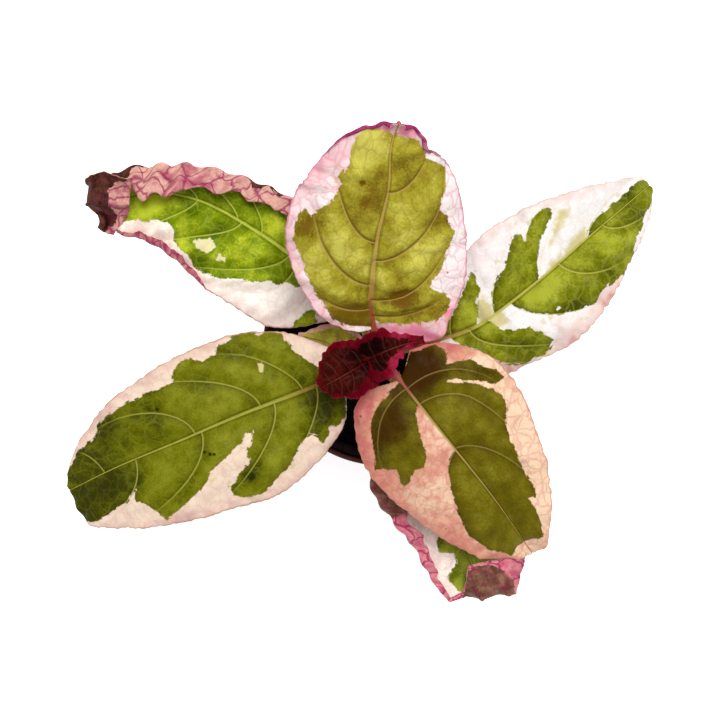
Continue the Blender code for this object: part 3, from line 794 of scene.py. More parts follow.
def leaf_skin(name, look):
    """Green patches with stepped edges on cream and pink, pale veins, and a purple underside."""
    look = {key: paint(*value) if isinstance(value, tuple) else value for key, value in look.items()}
    finish = Finish(name)
    level, times, plus, mix = finish.level, finish.times, finish.plus, finish.mix

    def over(colour, *layers):
        """Lays colours of the look over one another, each by its share."""
        for share, layer in layers:
            colour = mix(share, colour, look[layer])
        return colour

    along, across, under = finish.attribute("leaf_place")
    beside, far, strength = finish.attribute("leaf_veins")
    depth, pale_depth, edge = finish.attribute("leaf_green")
    shade_and_flecks, flush, midrib = finish.attribute("leaf_wash")
    flat = finish.node("CombineXYZ", {0: along, 1: across, 2: 0.0}).outputs[0]
    bend = finish.vector("SUBTRACT", finish.noise(flat, 0.28, 2, output=1), (0.5, 0.5, 0.5))
    warped, stepped = (
        finish.vector("ADD", flat, finish.vector("MULTIPLY", bend, (amount, amount, 0)))
        for amount in (NET_WARP, STEP_WARP))
    net, fine_net, wide_net = (
        finish.cells(warped, scale, feature="DISTANCE_TO_EDGE")
        for scale in (1 / NET_PITCH, FINE_NET / NET_PITCH, 1 / UNDER_PITCH))
    cell, square = (
        finish.node("SeparateColor", {0: colours}).outputs
        for colours in (finish.cells(warped, 1 / NET_PITCH, "Color"),
                        finish.cells(stepped, 1 / STEP_PITCH, "Color", distance="CHEBYCHEV")))
    broad, mottle, grain = (
        finish.noise(flat, scale, detail) for scale, detail in BLADE_NOISE)

    # Lines: side veins, the painted shade beside them, the midrib with painted shade along it, and the
    # nets between them.
    vein_line = times(level(finish.math("ABSOLUTE", beside), *VEIN_LINE), level(far, 1.2, 0.8))
    vein_line = times(vein_line, finish.ramp(strength, 0.0, 0.8, 0.12, 1))
    shade_line = times(level(beside, -1.3, -0.3), level(beside, 0.1, -0.25))
    shade_line = times(shade_line, level(strength, 0.05, 0.7, look["shade"]))
    rib_line = level(midrib, *RIB_LINE)
    rib_shade = times(level(midrib, 0.8, 1.1), level(midrib, 2.8, 1.2))
    net_line, fine_line, wide_line = (
        level(edges, width, 0.0) for edges, width in zip((net, fine_net, wide_net), NET_LINES))

    # Where the blade is green and where its cream is yellower, with edges that step from cell to
    # cell of the net.
    step = times(finish.math("SUBTRACT", cell[0], 0.5), look["steps"])
    step = plus(step, times(finish.math("SUBTRACT", square[0], 0.5), 0.8 * look["steps"]))
    green = level(plus(depth, step), -GREEN_EDGE, GREEN_EDGE)
    pale = level(plus(pale_depth, times(step, 1.5)), -1.2, 1.0)

    # Above: the green, the cream with its flecks, and the veins and the margin over both.
    tone = plus(times(broad, 0.6), times(mottle, 0.5), times(cell[1], 0.05), times(grain, 0.45))
    # Painted light: the tone is lighter between the side veins, over the swell of the quilting. It is a
    # little darker near the edge of a green patch.
    tone = plus(tone, plus(level(far, 0.4, 4.5, 0.16), level(depth, 1.6, 0.0, -0.06)))
    # Painted shade: the dark washes darken the tone, and where strong turn it to the deep colour; washes
    # below 0 lighten it, as painted light. On the cream, the strongest small ones are real brown flecks.
    tone = finish.math("SUBTRACT", tone, times(shade_and_flecks, 0.22))
    leafy = over(look["dark"], (level(tone, 0.50, 0.90), "green"), (level(tone, 0.82, 1.20), "light"),
                 (times(net_line, look["net_green"]), "green_net"),
                 (level(shade_and_flecks, 0.9, 2.4, 0.9), "deep"), (shade_line, "dark"),
                 (times(rib_shade, 0.5), "dark"))
    rosy = plus(level(mottle, 0.38, 0.68, 0.45), level(edge, 3.0, 0.2, 0.5), flush)
    fleck = times(level(square[1], *FLECKS), level(depth, -5, -1.2))
    creamy = over(look["cream"], (level(rosy, 0.1, 1.1), "pink"), (level(rosy, 1.0, 2.0), "rose"),
                  (times(net_line, look["net_strength"]), "net"), (times(fine_line, 0.15), "net"),
                  (times(fleck, 0.45), "pale"), (times(pale, 0.75), "pale"),
                  (level(shade_and_flecks, 2.2, 3.2, 0.8), "spot"), (times(vein_line, 0.35), "cream_vein"))
    rib_colour = over(look["base_vein"], (level(along, 2, look["red_length"]), "vein"))
    vein_colour = mix(0.7, rib_colour, look["vein"])
    leafy = mix(times(vein_line, look["vein_strength"]), leafy, vein_colour)
    top = mix(times(rib_line, look["rib_strength"]), mix(green, creamy, leafy), rib_colour)
    top = over(top, (level(edge, *MARGIN_LINE, 0.7), "margin"))

    # Below: duller green, pink to purple under the cream, and bold purple veins.
    bold = finish.ramp(green, 0, 1, 0.85, look["under_veins"])
    rosy_below = plus(mottle, times(flush, 0.2))
    below = mix(green, over(look["under_pink"], (level(rosy_below, 0.35, 0.7), "under_rose")),
                over(look["under_dark"], (level(mottle, 0.35, 0.7), "under_light")))
    below = over(below, (times(wide_line, bold), "under_net"), (times(fine_line, 0.25), "under_net"),
                 (times(vein_line, bold), "under_net"), (times(rib_line, 0.4), "under_rib"))

    colour = mix(level(under, 0.3, 0.7), top, below)
    swell = plus(level(net, 0.0, 0.3, 0.05), level(fine_net, 0.0, 0.3, 0.03), times(grain, 0.06),
                 times(vein_line, -0.05))
    return finish.surface(colour, finish.ramp(mottle, 0.3, 0.7, 0.42, 0.55), look["gloss"], swell)


def make_leaf(name, node, leaf, look):
    """A whole leaf, blade and petiole in one piece, with its own material."""
    blade = make_blade(name, leaf)
    piece = join([blade, make_petiole(leaf)])
    dress(piece, leaf_skin(name + "_skin", look), node)


# Back left leaf: one of the lowest pair, vivid green and white, its upper margin rolled over to
# show the pink underside, and its tip curled back on itself.
back_left = dict(
    LEAF, node=78, seed=10, grid=(150, 240), rib=0.85, quilt=1.3,
    midrib=[
        (-12, 13.5, 86), (-25.5, 24.5, 91), (-40, 34.5, 94), (-55, 42.2, 95), (-69.5, 44.6, 93),
        (-79, 43, 90.6), (-85.6, 41.6, 91.8), (-87.2, 41, 95.3), (-84.3, 40.4, 98), (-75.5, 40, 98.8)],
    left=[
        (0, -2.5, 5, 0.5), (11, 2, 10.5, 1.5), (18, 12.5, 20.5, 0.5), (21.5, 33, 22, -1.5, 0.5),
        (38.5, 52, 18, -2, 3.8), (53, 67, 13.6, -0.5, 4), (68, 77, 11, 0.5, 2), (83, 84, 7, -1),
        (92, 90.5, 9.2, 1.2), (103, 97, 10, 0)],
    right=[
        (0, 5, 8.5, -0.5, 2), (11, 16, 11, -0.5, 6), (18, 30.5, 11.5, 0.5, 8.5), (32, 42, 9.8, 1.5, 9),
        (40, 54, 7.4, 2, 11), (53, 64, 5.6, 2.5, 14), (68, 75, 4.6, 2, 7), (83, 85, 4.8, 0),
        (92, 93, 8.6, 3), (103, 105, 9.5, -1)],
    veins_left=[(1, 1), (2, 1.4), (3, 1), (4, 1.3), (5, 1)],
    veins_right=[(1, 1), (2, 1), (3, 1), (4, 1), (5, 1)],
    green_left=[
        [(0.1, 0), (1, 25), (1.75, 35), (2.3, 39), (2.65, 44), (2.93, 54), (3.15, 68), (3.45, 83),
         (3.65, 84), (3.85, 76), (4.15, 75), (4.35, 70), (4.57, 67), (4.72, 57), (5.02, 49), (5.4, 52),
         (5.67, 60), (6.1, 60), (6.5, 80), (7, 110), (8, 110), (8.5, 95), (8.75, 75), (8.7, 40),
         (8.45, 0)],
        [(1, 72), (1.05, 105), (1.6, 105), (1.35, 75)]],
    green_right=[
        [(0.1, 0), (1, 40), (2, 62), (2.2, 80), (2.6, 74), (2.9, 80), (3.2, 70), (3.4, 50), (3.9, 48),
         (4.3, 45), (4.7, 42), (5.2, 40), (5.5, 60), (5.6, 80), (6, 110), (6.4, 110), (6.6, 85),
         (7, 110), (8, 110), (8.9, 110), (8.9, 90), (8.6, 70), (8.4, 40), (8.45, 0)]],
    pale_left=[[(4.3, 35), (3.5, 42), (3.5, 65), (4.3, 68)]],
    spots_left=[
        [(4.08, 42), (3.87, 46), (3.84, 58), (4, 64), (4.22, 55)],
        [(3.62, 50), (3.54, 55), (3.65, 58), (3.72, 51)]],
    shade_and_flecks_left=[
        (3.68, 80, 4, 1.3), (4.85, 60, 3, 1.2), (1.5, 30, 6, 0.8), (4.2, 25, 5, 0.9), (4.9, 20, 3, 0.8),
        (5.9, 25, 6, -1.8), (4.3, 65, 4, -1.5), (3.2, 50, 4, -0.6)],
    shade_and_flecks_right=[(3.2, 30, 4, 0.7), (6, 10, 6, -1.5), (4.2, 25, 5, 0.4), (2.8, 10, 5, -0.7)],
    blush_left=[(4.6, 100, 7, 0.8), (5.6, 100, 6, 1), (3.6, 100, 5, 0.8)],
    blush_right=[(5.2, 70, 6, -1), (4.4, 90, 6, 0.6), (2.6, 80, 8, -0.8)])
# Its cream, pink and light green are painted lighter than the leaf's own, as painted light against the
# shade of its rolled flap and of the leaves over it.
back_left_look = dict(
    LOOK, dark=(80, 100, 4), green=(124, 146, 9), light=(206, 220, 54), deep=(52, 66, 2),
    vein=(196, 206, 84), base_vein=(180, 178, 90), red_length=10, cream=(274, 266, 252),
    pink=(262, 230, 216), net=(240, 200, 190), green_net=(186, 200, 70), pale=(234, 226, 150),
    cream_vein=(250, 244, 214), margin=(190, 120, 120), under_pink=(232, 178, 160),
    under_rose=(188, 102, 114), under_dark=(52, 28, 12), under_light=(98, 66, 44),
    under_rib=(70, 36, 30), under_veins=0.12)
make_leaf("back_left_leaf", "leaf_back_left", back_left, back_left_look)


# Lower front leaf: the other of the lowest pair. It lies under the front leaf, with both its
# margins rolled over and its tip curled up.
lower_front = dict(
    LEAF, node=78, seed=20, grid=(140, 190), rib=0.7,
    midrib=[
        (7, -18.5, 84), (13, -32, 87), (19, -46.5, 87), (24, -60, 85), (27.5, -69.8, 83.5),
        (29.4, -75.6, 85.3), (29, -76.6, 88.5), (27.5, -73.5, 91), (25.5, -68, 92)],
    left=[
        (0, 4, 9, 0), (5.5, 15, 15.5, -1), (14, 27.5, 18.5, -1), (24.5, 38.5, 20, -1.5),
        (34.5, 50, 18.8, -2, 1), (46, 56, 14.5, -1, 3), (58, 61, 11, 0.5, 1), (65, 64, 9.5, 1),
        (72, 70, 12.5, 0.5), (79, 77, 17.5, 0)],
    right=[
        (0, 1, 8, 0.5), (5.5, 8, 13, 0.5, 4), (14, 19, 18, 0.5, 8), (24.5, 30.5, 15.8, 0, 8),
        (34.5, 41.5, 12.5, 0, 7), (46, 53, 11.5, 0.5, 4), (58, 61, 9.5, 0, 2), (65, 66.5, 7.5, 1.5),
        (72, 72.5, 4, 1.5), (79, 77.5, 1, 0)],
    veins_left=[(1, 1.2), (2, 1.2), (3, 1.2), (4, 1.2), (5, 1), (8.8, -2.2)],
    veins_right=[(1, 1.2), (2, 1.2), (3, 1.2), (4, 1.2), (5, 1)],
    green_left=[
        [(0, 0), (1, 70), (2, 80), (3, 75), (4, 70), (4.6, 75), (5, 85), (5.5, 90), (6, 95), (6.5, 110),
         (7.5, 110), (8.1, 85), (8.6, 60), (8.85, 40), (8.85, 0)]],
    green_right=[
        [(0, 0), (1, 80), (1.6, 110), (2.9, 110), (2.9, 75), (3.1, 50), (3.6, 20), (4.1, 20), (4.3, 42),
         (4.5, 48), (4.75, 38), (4.95, 25), (5.2, 30), (5.3, 60), (5.8, 60), (6.1, 50), (6.5, 70),
         (7.7, 85), (8.85, 80), (8.85, 0)]],
    shade_and_flecks_left=[(4.6, 20, 6, 0.5)],
    shade_and_flecks_right=[(4.4, 30, 4, 1.2), (5.5, 30, 4, 0.8)])
# Its cream, pink and underside browns are painted lighter than the leaf's own, as painted light against
# the shade of the front leaf over it.
lower_front_look = dict(
    LOOK, dark=(98, 104, 18), green=(158, 170, 52), light=(196, 210, 84), vein=(176, 178, 84),
    base_vein=(150, 110, 80), red_length=16, cream=(278, 264, 252), pink=(262, 224, 218),
    net=(236, 166, 170), cream_vein=(264, 242, 224), margin=(170, 90, 100), under_pink=(242, 152, 158),
    under_rose=(208, 92, 122), under_veins=0.5, under_net=(146, 24, 78), under_rib=(110, 30, 60),
    under_dark=(96, 66, 46), under_light=(156, 118, 92), green_net=(150, 160, 60))
make_leaf("lower_front_leaf", "leaf_lower_front", lower_front, lower_front_look)


# Small leaf: a short side leaf that shows only between the back leaf and the left one.
small = dict(
    LEAF, node=86, petiole=0.8, seed=30, grid=(90, 90), rib=0.6,
    midrib=[(-10.5, -4, 90), (-14, -2, 92), (-18.5, 0.5, 93), (-26, 2.5, 92)],
    left=[
        (0, 0, 3, 0), (2, 2, 6, 0), (5.5, 6.5, 7, -0.5), (9, 11, 6, -0.5), (13, 14.5, 3.5, -0.5),
        (17.5, 17.5, 0.8, 0)],
    right=[
        (0, -3, 6, 0), (2, 1, 7.5, 0), (5.5, 6.5, 7.4, 0), (9, 11, 5, 0), (13, 14.5, 2.5, -0.5),
        (17.5, 17.5, 0.8, 0)],
    veins_left=[(1, 0.8), (2, 0.8), (3, 0.6)],
    veins_right=[(1, 0.8), (2, 0.8), (3, 0.6)],
    green_left=[[(0, 0), (1, 85), (2, 88), (3, 80), (4, 60), (4.6, 30), (4.7, 0)]],
    green_right=[[(0, 0), (1, 85), (2, 85), (3, 80), (4, 70), (4.6, 30), (4.7, 0)]])
# Its colours are lighter than the leaf's own, as painted light against the shade of the leaves over it.
small_look = dict(
    LOOK, dark=(136, 132, 30), green=(196, 192, 64), light=(226, 224, 112), vein=(176, 168, 96),
    base_vein=(130, 70, 50), red_length=10, cream=(232, 184, 160), pink=(214, 152, 136),
    net=(186, 120, 110), cream_vein=(226, 180, 160), margin=(190, 120, 110))
make_leaf("small_leaf", "leaf_small", small, small_look)


# Left leaf: one of the second pair, long and flat, olive green with a cream rim and cream wedges
# that run in between its lower side veins.
left_leaf = dict(
    LEAF, node=93, seed=40, grid=(140, 240), quilt=0.9, rib=0.8,
    midrib=[
        (-14, -9.5, 98), (-25, -14, 100), (-42, -20.5, 102), (-59.5, -28, 101), (-77.5, -35.5, 97),
        (-94, -43.5, 90)],
    left=[
        (0, 0, 6.5, 0), (4, 2.5, 12.5, -1.5), (7, 10.5, 19, -3), (20, 26.5, 25.5, -4),
        (42.5, 45.5, 24, -2.5), (64, 66.5, 20.5, 0), (77, 84, 13.5, 2), (85, 87.8, 7.5, 1),
        (88.8, 88.8, 1.5, 0)],
    right=[
        (0, -2.5, 7, 0.5), (6.5, 2, 11.5, 0.5), (11, 9.5, 17.5, 1.5), (24, 23, 22, 1.5),
        (44, 42, 22.5, 1.5), (59, 61, 19, 2), (75, 76, 12.5, 1), (84, 84.3, 7, 0.5),
        (88.8, 88.8, 1.5, 0)],
    veins_left=[(2, 1.4), (3, 1.3), (4, 1.5), (5, 1.2)],
    veins_right=[(2, 2), (3, 2), (4.03, 2.3), (6, 0.5)],
    green_left=[
        [(0, 0), (0.3, 95), (0.75, 97), (1.25, 90), (1.55, 85), (1.7, 76), (1.85, 70), (2, 78),
         (2.12, 80), (2.2, 70), (2.35, 57), (2.5, 56), (2.7, 64), (2.85, 74), (3.02, 78), (3.27, 87),
         (3.42, 92), (3.67, 91), (3.84, 85), (3.86, 73), (3.68, 64), (3.47, 50), (3.52, 45), (3.47, 38),
         (3.4, 29), (3.35, 21), (3.47, 22), (3.57, 31), (3.7, 35), (3.87, 42), (4.05, 50), (4.25, 68),
         (4.6, 85), (4.8, 92), (4.87, 84), (4.95, 72), (5.02, 62), (5.22, 60), (5.15, 42), (5.25, 45),
         (5.4, 60), (5.6, 68), (5.8, 80), (6.05, 90), (6.4, 97), (6.8, 110), (8.2, 110), (8.2, 0)]],
    green_right=[
        [(0, 0), (0.3, 30), (0.9, 42), (1.2, 50), (1.5, 58), (1.85, 67), (2.03, 80), (2.1, 96),
         (2.4, 105), (2.6, 95), (2.8, 105), (3.1, 96), (3.3, 92), (3.37, 82), (3.55, 80), (3.72, 90),
         (3.9, 92), (4.02, 84), (4.06, 72), (4.3, 73), (4.6, 78), (4.9, 82), (5.15, 84), (5.35, 88),
         (5.6, 87), (5.65, 78), (5.85, 75), (5.95, 82), (6.15, 79), (6.35, 85), (6.7, 90), (7.1, 95),
         (7.4, 110), (8.2, 110), (8.2, 0)]],
    spots_right=[[(2.77, 60), (2.66, 53), (2.72, 38), (2.8, 45)]],
    pale_right=[[(2.85, 63), (2.6, 55), (2.66, 35), (2.87, 43)]],
    shade_and_flecks_left=[
        (3.52, 68, 2.8, 1.7), (3.53, 69, 0.8, 4), (4.05, 24, 0.35, 5), (3.98, 29, 0.4, 5),
        (3.93, 31, 0.35, 5), (6.8, 50, 11, 1.7), (0.9, 40, 8, 1.4), (5.6, 30, 7, 1),
        (2.65, 10, 7, -0.5), (3.1, 40, 7, -0.2), (2.4, 5, 5, 1), (5.2, 15, 8, 0.6), (2.1, 50, 5, 1)],
    shade_and_flecks_right=[
        (4.5, 51, 0.4, 4), (5.5, 60, 7, 1.3), (6.8, 50, 11, 1.4), (4.6, 75, 5, 1), (3.1, 85, 5, 0.8),
        (0.9, 30, 7, 1.2), (3, 50, 6, -0.5), (4.1, 30, 6, -0.4), (4.9, 20, 8, 0.8)],
    blush_left=[(4.6, 100, 6, 0.4)],
    blush_right=[(5.4, 100, 6, 0.3)])
left_look = dict(
    LOOK, dark=(66, 68, 3), green=(110, 112, 9), light=(140, 142, 37), deep=(44, 44, 2),
    vein=(170, 168, 74), base_vein=(140, 92, 42), red_length=22, green_net=(140, 144, 44),
    cream=(248, 224, 200), pink=(232, 190, 178), net=(218, 168, 156), cream_vein=(250, 228, 200),
    margin=(196, 148, 116))
make_leaf("left_leaf", "leaf_left", left_leaf, left_look)


# Right leaf: the other of the second pair, bright green in patches on near white, with a few
# yellower patches between them.
right_leaf = dict(
    LEAF, node=93, seed=50, grid=(130, 240), rib=0.75,
    midrib=[
        (13.5, 0.5, 97), (27, 5.5, 100), (43, 17.5, 102), (57.5, 30, 101), (69.5, 40, 98),
        (78, 47, 93)],
    left=[
        (0, 1.5, 6.5, 0.5), (6, 9.5, 15, 2), (13.5, 28.5, 20, 3.5), (20, 44, 18.5, 5),
        (37, 60, 12.5, 5), (55, 71, 7.5, 3), (68, 79, 4.2, 1.5), (82, 82, 1.4, 0)],
    right=[
        (0, 2.5, 10.5, -3.5), (5.5, 10.5, 16, -5.5), (11.5, 19.5, 17.5, -6.5), (25.5, 33, 20.5, -6),
        (43.5, 48.5, 18.2, -4.5), (56, 63.5, 12.6, -3.5), (68, 76.5, 6.8, -2), (82, 82, 1.4, 0)],
    veins_left=[(1, 1), (3, 0), (4, -0.2), (5, 0.8)],
    veins_right=[(2, 1.1), (3, 1.15), (4, 1.1), (5.4, 0.8)],
    green_left=[
        [(0.3, 0), (0.5, 20), (0.8, 27), (1.1, 30), (1.4, 45), (1.6, 50), (1.8, 60), (2, 70), (2.2, 60),
         (2.3, 50), (2.4, 42), (2.3, 30), (2.3, 20), (2.15, 0)],
        [(2.98, 0), (2.95, 30), (3.05, 45), (3.16, 55), (3.1, 70), (3.1, 80), (3.25, 78), (3.4, 68),
         (3.36, 78), (3.34, 86), (3.5, 92), (3.65, 90), (3.78, 84), (3.78, 60), (3.87, 35), (3.97, 13),
         (3.97, 0)],
        [(5, 0), (5.02, 20), (5.12, 40), (5.35, 45), (5.5, 50), (5.7, 54), (5.85, 62), (6.05, 70),
         (6.2, 80), (6.4, 90), (6.7, 105), (7.1, 105), (7.2, 0)]],
    green_right=[
        [(0.9, 0), (1.1, 12), (1.4, 20), (1.6, 30), (1.75, 42), (1.8, 60), (1.8, 78), (1.95, 97),
         (2.15, 95), (2.3, 92), (2.45, 95), (2.65, 88), (2.87, 80), (2.9, 60), (2.85, 42), (2.65, 35),
         (2.5, 25), (2.42, 0)],
        [(3, 0), (3.1, 30), (3.35, 55), (3.65, 75), (3.85, 83), (4, 78), (4.2, 82), (4.5, 96),
         (4.65, 105), (5, 105), (5.1, 92), (5.3, 87), (5.6, 88), (5.9, 85), (6.3, 88), (6.6, 93),
         (6.8, 105), (7.1, 105), (7.2, 0)]],
    spots_right=[[(3.4, 45), (3.38, 50), (3.48, 51), (3.48, 46)]],
    pale_left=[
        [(2.1, 0), (2.3, 30), (2.6, 32), (2.95, 12), (3, 0)],
        [(3.9, 84), (4.1, 80), (4.15, 55), (4.05, 45)],
        [(4.15, 0), (4.2, 12), (4.45, 14), (4.6, 28), (4.9, 30), (5, 0)]],
    pale_right=[[(2.4, 0), (2.5, 20), (2.7, 22), (2.8, 0)]],
    shade_and_flecks_left=[(6.15, 40, 5, 0.9), (3.35, 50, 5, 0.4), (1.6, 20, 5, -0.8)],
    shade_and_flecks_right=[
        (3.75, 60, 5, 0.9), (3.2, 30, 3, 0.5), (4.4, 85, 4, 1), (4, 20, 5, -0.9), (3.3, 12, 5, -1),
        (5, 40, 5, -0.7), (2.3, 70, 4, 0.8), (6.2, 30, 5, 0.8)],
    blush_right=[(1.2, 90, 7, 1.4), (0.8, 40, 5, 1.2), (4, 100, 6, 1), (3, 100, 7, 0.9)])
right_look = dict(
    LOOK, dark=(72, 76, 3), green=(118, 123, 13), light=(172, 178, 50), vein=(190, 184, 84),
    base_vein=(176, 124, 66), red_length=16, green_net=(176, 178, 80), cream=(255, 252, 248),
    pink=(248, 220, 212), net=(236, 190, 190), net_strength=0.17, pale=(204, 190, 92),
    cream_vein=(248, 226, 196), margin=(228, 190, 172), rose=(222, 142, 124))
make_leaf("right_leaf", "leaf_right", right_leaf, right_look)


# Back leaf: one of the third pair, broad and deeply quilted, yellow olive with pink margins, its
# tip curled up to show a magenta underside.
back_leaf = dict(
    LEAF, node=104, seed=60, grid=(160, 210), quilt=1.15,
    midrib=[
        (-3.5, 4, 108), (-4.5, 12, 113), (-3, 27, 122), (0, 40.5, 129), (0.5, 50, 134),
        (1.8, 54.5, 136), (2.5, 56.5, 138.5), (2.3, 55.5, 141)],
    left=[
        (0, 1, 5, 1), (6, 6, 13, 2), (10, 14.5, 20, 1.5), (14, 28, 25, 0), (27, 40.5, 23.2, -1),
        (37, 50.5, 18.2, -2, 0.6), (51, 57, 8, -1, 1.6), (63.5, 63.5, 1.5, 0, 1)],
    right=[
        (0, -2, 7, 2.5), (5, -2, 18, 6.5), (10.5, 14.5, 25, 2), (21.5, 31, 25, -3), (33, 42, 20.3, -3),
        (42, 50.5, 13.6, -2, 0.6), (53, 57.5, 8.2, -1, 1.6), (63.5, 63.5, 1.5, 0, 1)],
    veins_left=[(0.15, 0.8), (1.15, 1), (3, 1.25), (4, 1.6)],
    veins_right=[(0.82, 1.6), (1.78, 1.8), (3, 1.95), (4.95, 0.6)],
    green_left=[
        [(0.1, 0), (0.3, 40), (0.5, 70), (0.75, 82), (1.33, 80), (1.7, 76), (2, 79), (2.45, 82),
         (2.7, 80), (2.85, 86), (3.07, 91), (3.3, 90), (3.47, 90), (3.67, 86), (3.68, 77), (3.85, 74),
         (4.1, 68), (4.25, 65), (4.5, 65), (4.9, 66), (5.05, 72), (5.27, 73), (5.45, 71), (5.65, 79),
         (5.8, 82), (5.98, 80), (6.23, 78), (6.38, 64), (6.47, 36), (6.5, 0)]],
    green_right=[
        [(0.5, 0), (0.55, 20), (0.65, 35), (0.78, 47), (1, 60), (1.22, 80), (1.45, 95), (1.82, 92),
         (2, 82), (2.1, 73), (2.22, 62), (2.35, 65), (2.52, 71), (2.85, 78), (3.17, 82), (3.42, 86),
         (3.85, 83), (4, 75), (4.15, 78), (4.48, 87), (4.75, 94), (5.07, 88), (5.37, 76), (5.9, 84),
         (6.15, 77), (6.42, 47), (6.5, 0)]],
    shade_and_flecks_left=[
        (5.3, 44, 0.6, 4), (4, 4, 0.4, 4), (4.8, 27, 4.5, 1), (3.35, 82, 3.5, 1.5), (1.2, 60, 6, 0.7),
        (3.6, 40, 6, -1), (5.7, 20, 2.5, 1), (2.5, 33, 6, -0.3), (1.4, 20, 7, 1), (5.25, 20, 6, 1.2),
        (5.95, 60, 5, -1)],
    shade_and_flecks_right=[
        (2.22, 30, 5, 1.5), (3.75, 80, 2.5, 1.4), (1.52, 90, 5, 0.9), (1.4, 50, 6, 0.7),
        (5.5, 30, 4, 1.2), (3.1, 50, 5, -0.9), (4, 12, 4, 0.9), (2, 80, 3, -0.6), (1.9, 33, 3, 0.8),
        (2.47, 79, 0.55, 4)],
    blush_left=[
        (6.6, 60, 5, 1.6), (4.5, 95, 9, 0.5), (5.4, 90, 7, 0.5), (2.6, 100, 9, 0.4),
        (1.2, 100, 8, 0.5)],
    blush_right=[
        (0.6, 70, 5, 1.4), (0.2, 40, 4, 1.2), (6.6, 60, 5, 1.6), (1.5, 100, 4, 1.6), (0.9, 85, 4, 1.2),
        (3.3, 100, 10, -0.5), (4.8, 100, 8, -0.5)])
# Its rose is painted lighter than the leaf's own, as painted light on the shaded, tilted lower margin.
back_look = dict(
    LOOK, dark=(112, 92, 18), green=(170, 160, 47), light=(214, 206, 92), deep=(118, 80, 22),
    vein=(190, 158, 88), base_vein=(152, 66, 48), red_length=20, green_net=(134, 92, 40),
    cream=(255, 246, 244), pink=(248, 206, 208), net=(232, 140, 162), cream_vein=(246, 196, 200),
    margin=(214, 120, 146), rose=(244, 140, 168), shade=0.85, net_green=0.28, net_strength=0.45,
    under_pink=(206, 122, 150), under_rose=(160, 56, 104), under_dark=(124, 78, 80),
    under_light=(166, 122, 118))
make_leaf("back_leaf", "leaf_back", back_leaf, back_look)


# Front leaf: the other of the third pair, brownish olive on salmon cream, nearest the camera on
# the lower right.
front_leaf = dict(
    LEAF, node=104, seed=70, grid=(150, 230), quilt=0.8, rib=0.55,
    midrib=[
        (3.5, -10, 110), (10.5, -19, 112), (19, -29.5, 110), (29.5, -42.5, 105), (37.5, -53.5, 99.5),
        (42, -60, 94.5), (43.5, -61.8, 90.5)],
    left=[
        (0, -4.5, 7, 1), (3.5, -1, 15, 1), (7, 9, 23.5, -2), (11.5, 24, 25, -2.5), (25.5, 41, 20, 0),
        (38, 54, 14, 1.5), (52, 65, 6.5, 2.5), (73, 73, 1, 0)],
    right=[
        (0, -3, 8.5, 0.5), (3.5, -1.2, 15, -1), (7, 6.5, 20.5, -4.5), (11.5, 19.5, 23.5, -6),
        (26, 41, 20.5, -4.5), (38, 58.5, 14, -2), (52, 66.5, 6, -0.5), (73, 73, 1, 0)],
    veins_left=[(1.05, 2.5), (2.5, 2.2), (4, 1.3)],
    veins_right=[(1, 2.9), (4, 1.3)],
    green_left=[
        [(0, 0), (0.1, 90), (0.9, 97), (1.3, 85), (1.5, 72), (1.6, 62), (1.75, 72), (1.95, 83),
         (2.2, 82), (2.5, 92), (2.75, 93), (2.85, 78), (2.6, 65), (2.35, 52), (2.22, 40), (2.45, 50),
         (2.7, 64), (2.95, 75), (3.1, 80), (3.35, 78), (3.6, 72), (4, 68), (4.5, 70), (4.75, 73),
         (5, 80), (5.2, 78), (5.3, 66), (5.5, 75), (5.8, 85), (6.05, 88), (6.2, 78), (6.4, 50),
         (6.55, 0)]],
    green_right=[
        [(0.25, 0), (0.4, 20), (0.6, 40), (0.8, 35), (0.95, 40), (1.05, 50), (1.3, 60), (1.6, 70),
         (2, 75), (2.5, 80), (2.9, 90), (3, 85), (3.2, 70), (3.45, 80), (3.5, 70), (3.45, 55),
         (3.6, 45), (3.55, 33), (3.35, 25), (3.1, 16), (2.8, 9), (2.6, 5), (2.6, 0)],
        [(4, 0), (4, 15), (4.12, 28), (4.3, 42), (4.6, 65), (4.85, 82), (5.4, 87), (5.8, 90), (6, 93),
         (6.2, 72), (6.4, 45), (6.55, 0)]],
    shade_and_flecks_left=[
        (0.5, 40, 7, 2.2), (1, 70, 6, 1.1), (1.4, 30, 5, 1), (2.6, 85, 3, 0.6), (3.1, 40, 5, -0.5),
        (5.4, 20, 6, 0.5), (5.9, 60, 5, 0.6), (2.6, 25, 4, -0.8)],
    shade_and_flecks_right=[
        (0.3, 30, 4, 1.8), (2.75, 40, 6, 1.3), (2, 30, 5, 1), (2.3, 68, 4, 1.2), (1.2, 50, 4, 0.5),
        (0.9, 42, 2.5, -1.3), (3.2, 50, 3, 0.6), (4.33, 87, 0.55, 4), (1.37, 87, 0.55, 4)],
    blush_right=[
        (1.2, 100, 6, 1), (0.5, 80, 6, 0.9), (2.2, 100, 6, 0.7), (3.2, 70, 11, 0.9), (4.6, 90, 8, 0.8),
        (5.6, 100, 6, 0.6), (2.2, 20, 8, 0.8), (3.9, 20, 5, 0.6), (4.2, 75, 6, 0.4)],
    blush_left=[
        (1.5, 90, 5, 1.2), (0.6, 100, 5, 1.2), (5, 100, 8, -0.8), (3.6, 100, 8, -0.8),
        (2.3, 90, 7, -0.6)])
front_look = dict(
    LOOK, dark=(70, 56, 3), green=(104, 94, 11), light=(132, 124, 34), deep=(66, 38, 2),
    vein=(172, 152, 84), base_vein=(168, 88, 84), red_length=12, green_net=(104, 84, 24),
    cream=(256, 220, 186), pink=(224, 154, 130), net=(202, 118, 110), net_strength=0.4,
    cream_vein=(240, 190, 162), margin=(210, 140, 120), rose=(200, 104, 104), vein_strength=0.45,
    steps=0.5)
make_leaf("front_leaf", "leaf_front", front_leaf, front_look)


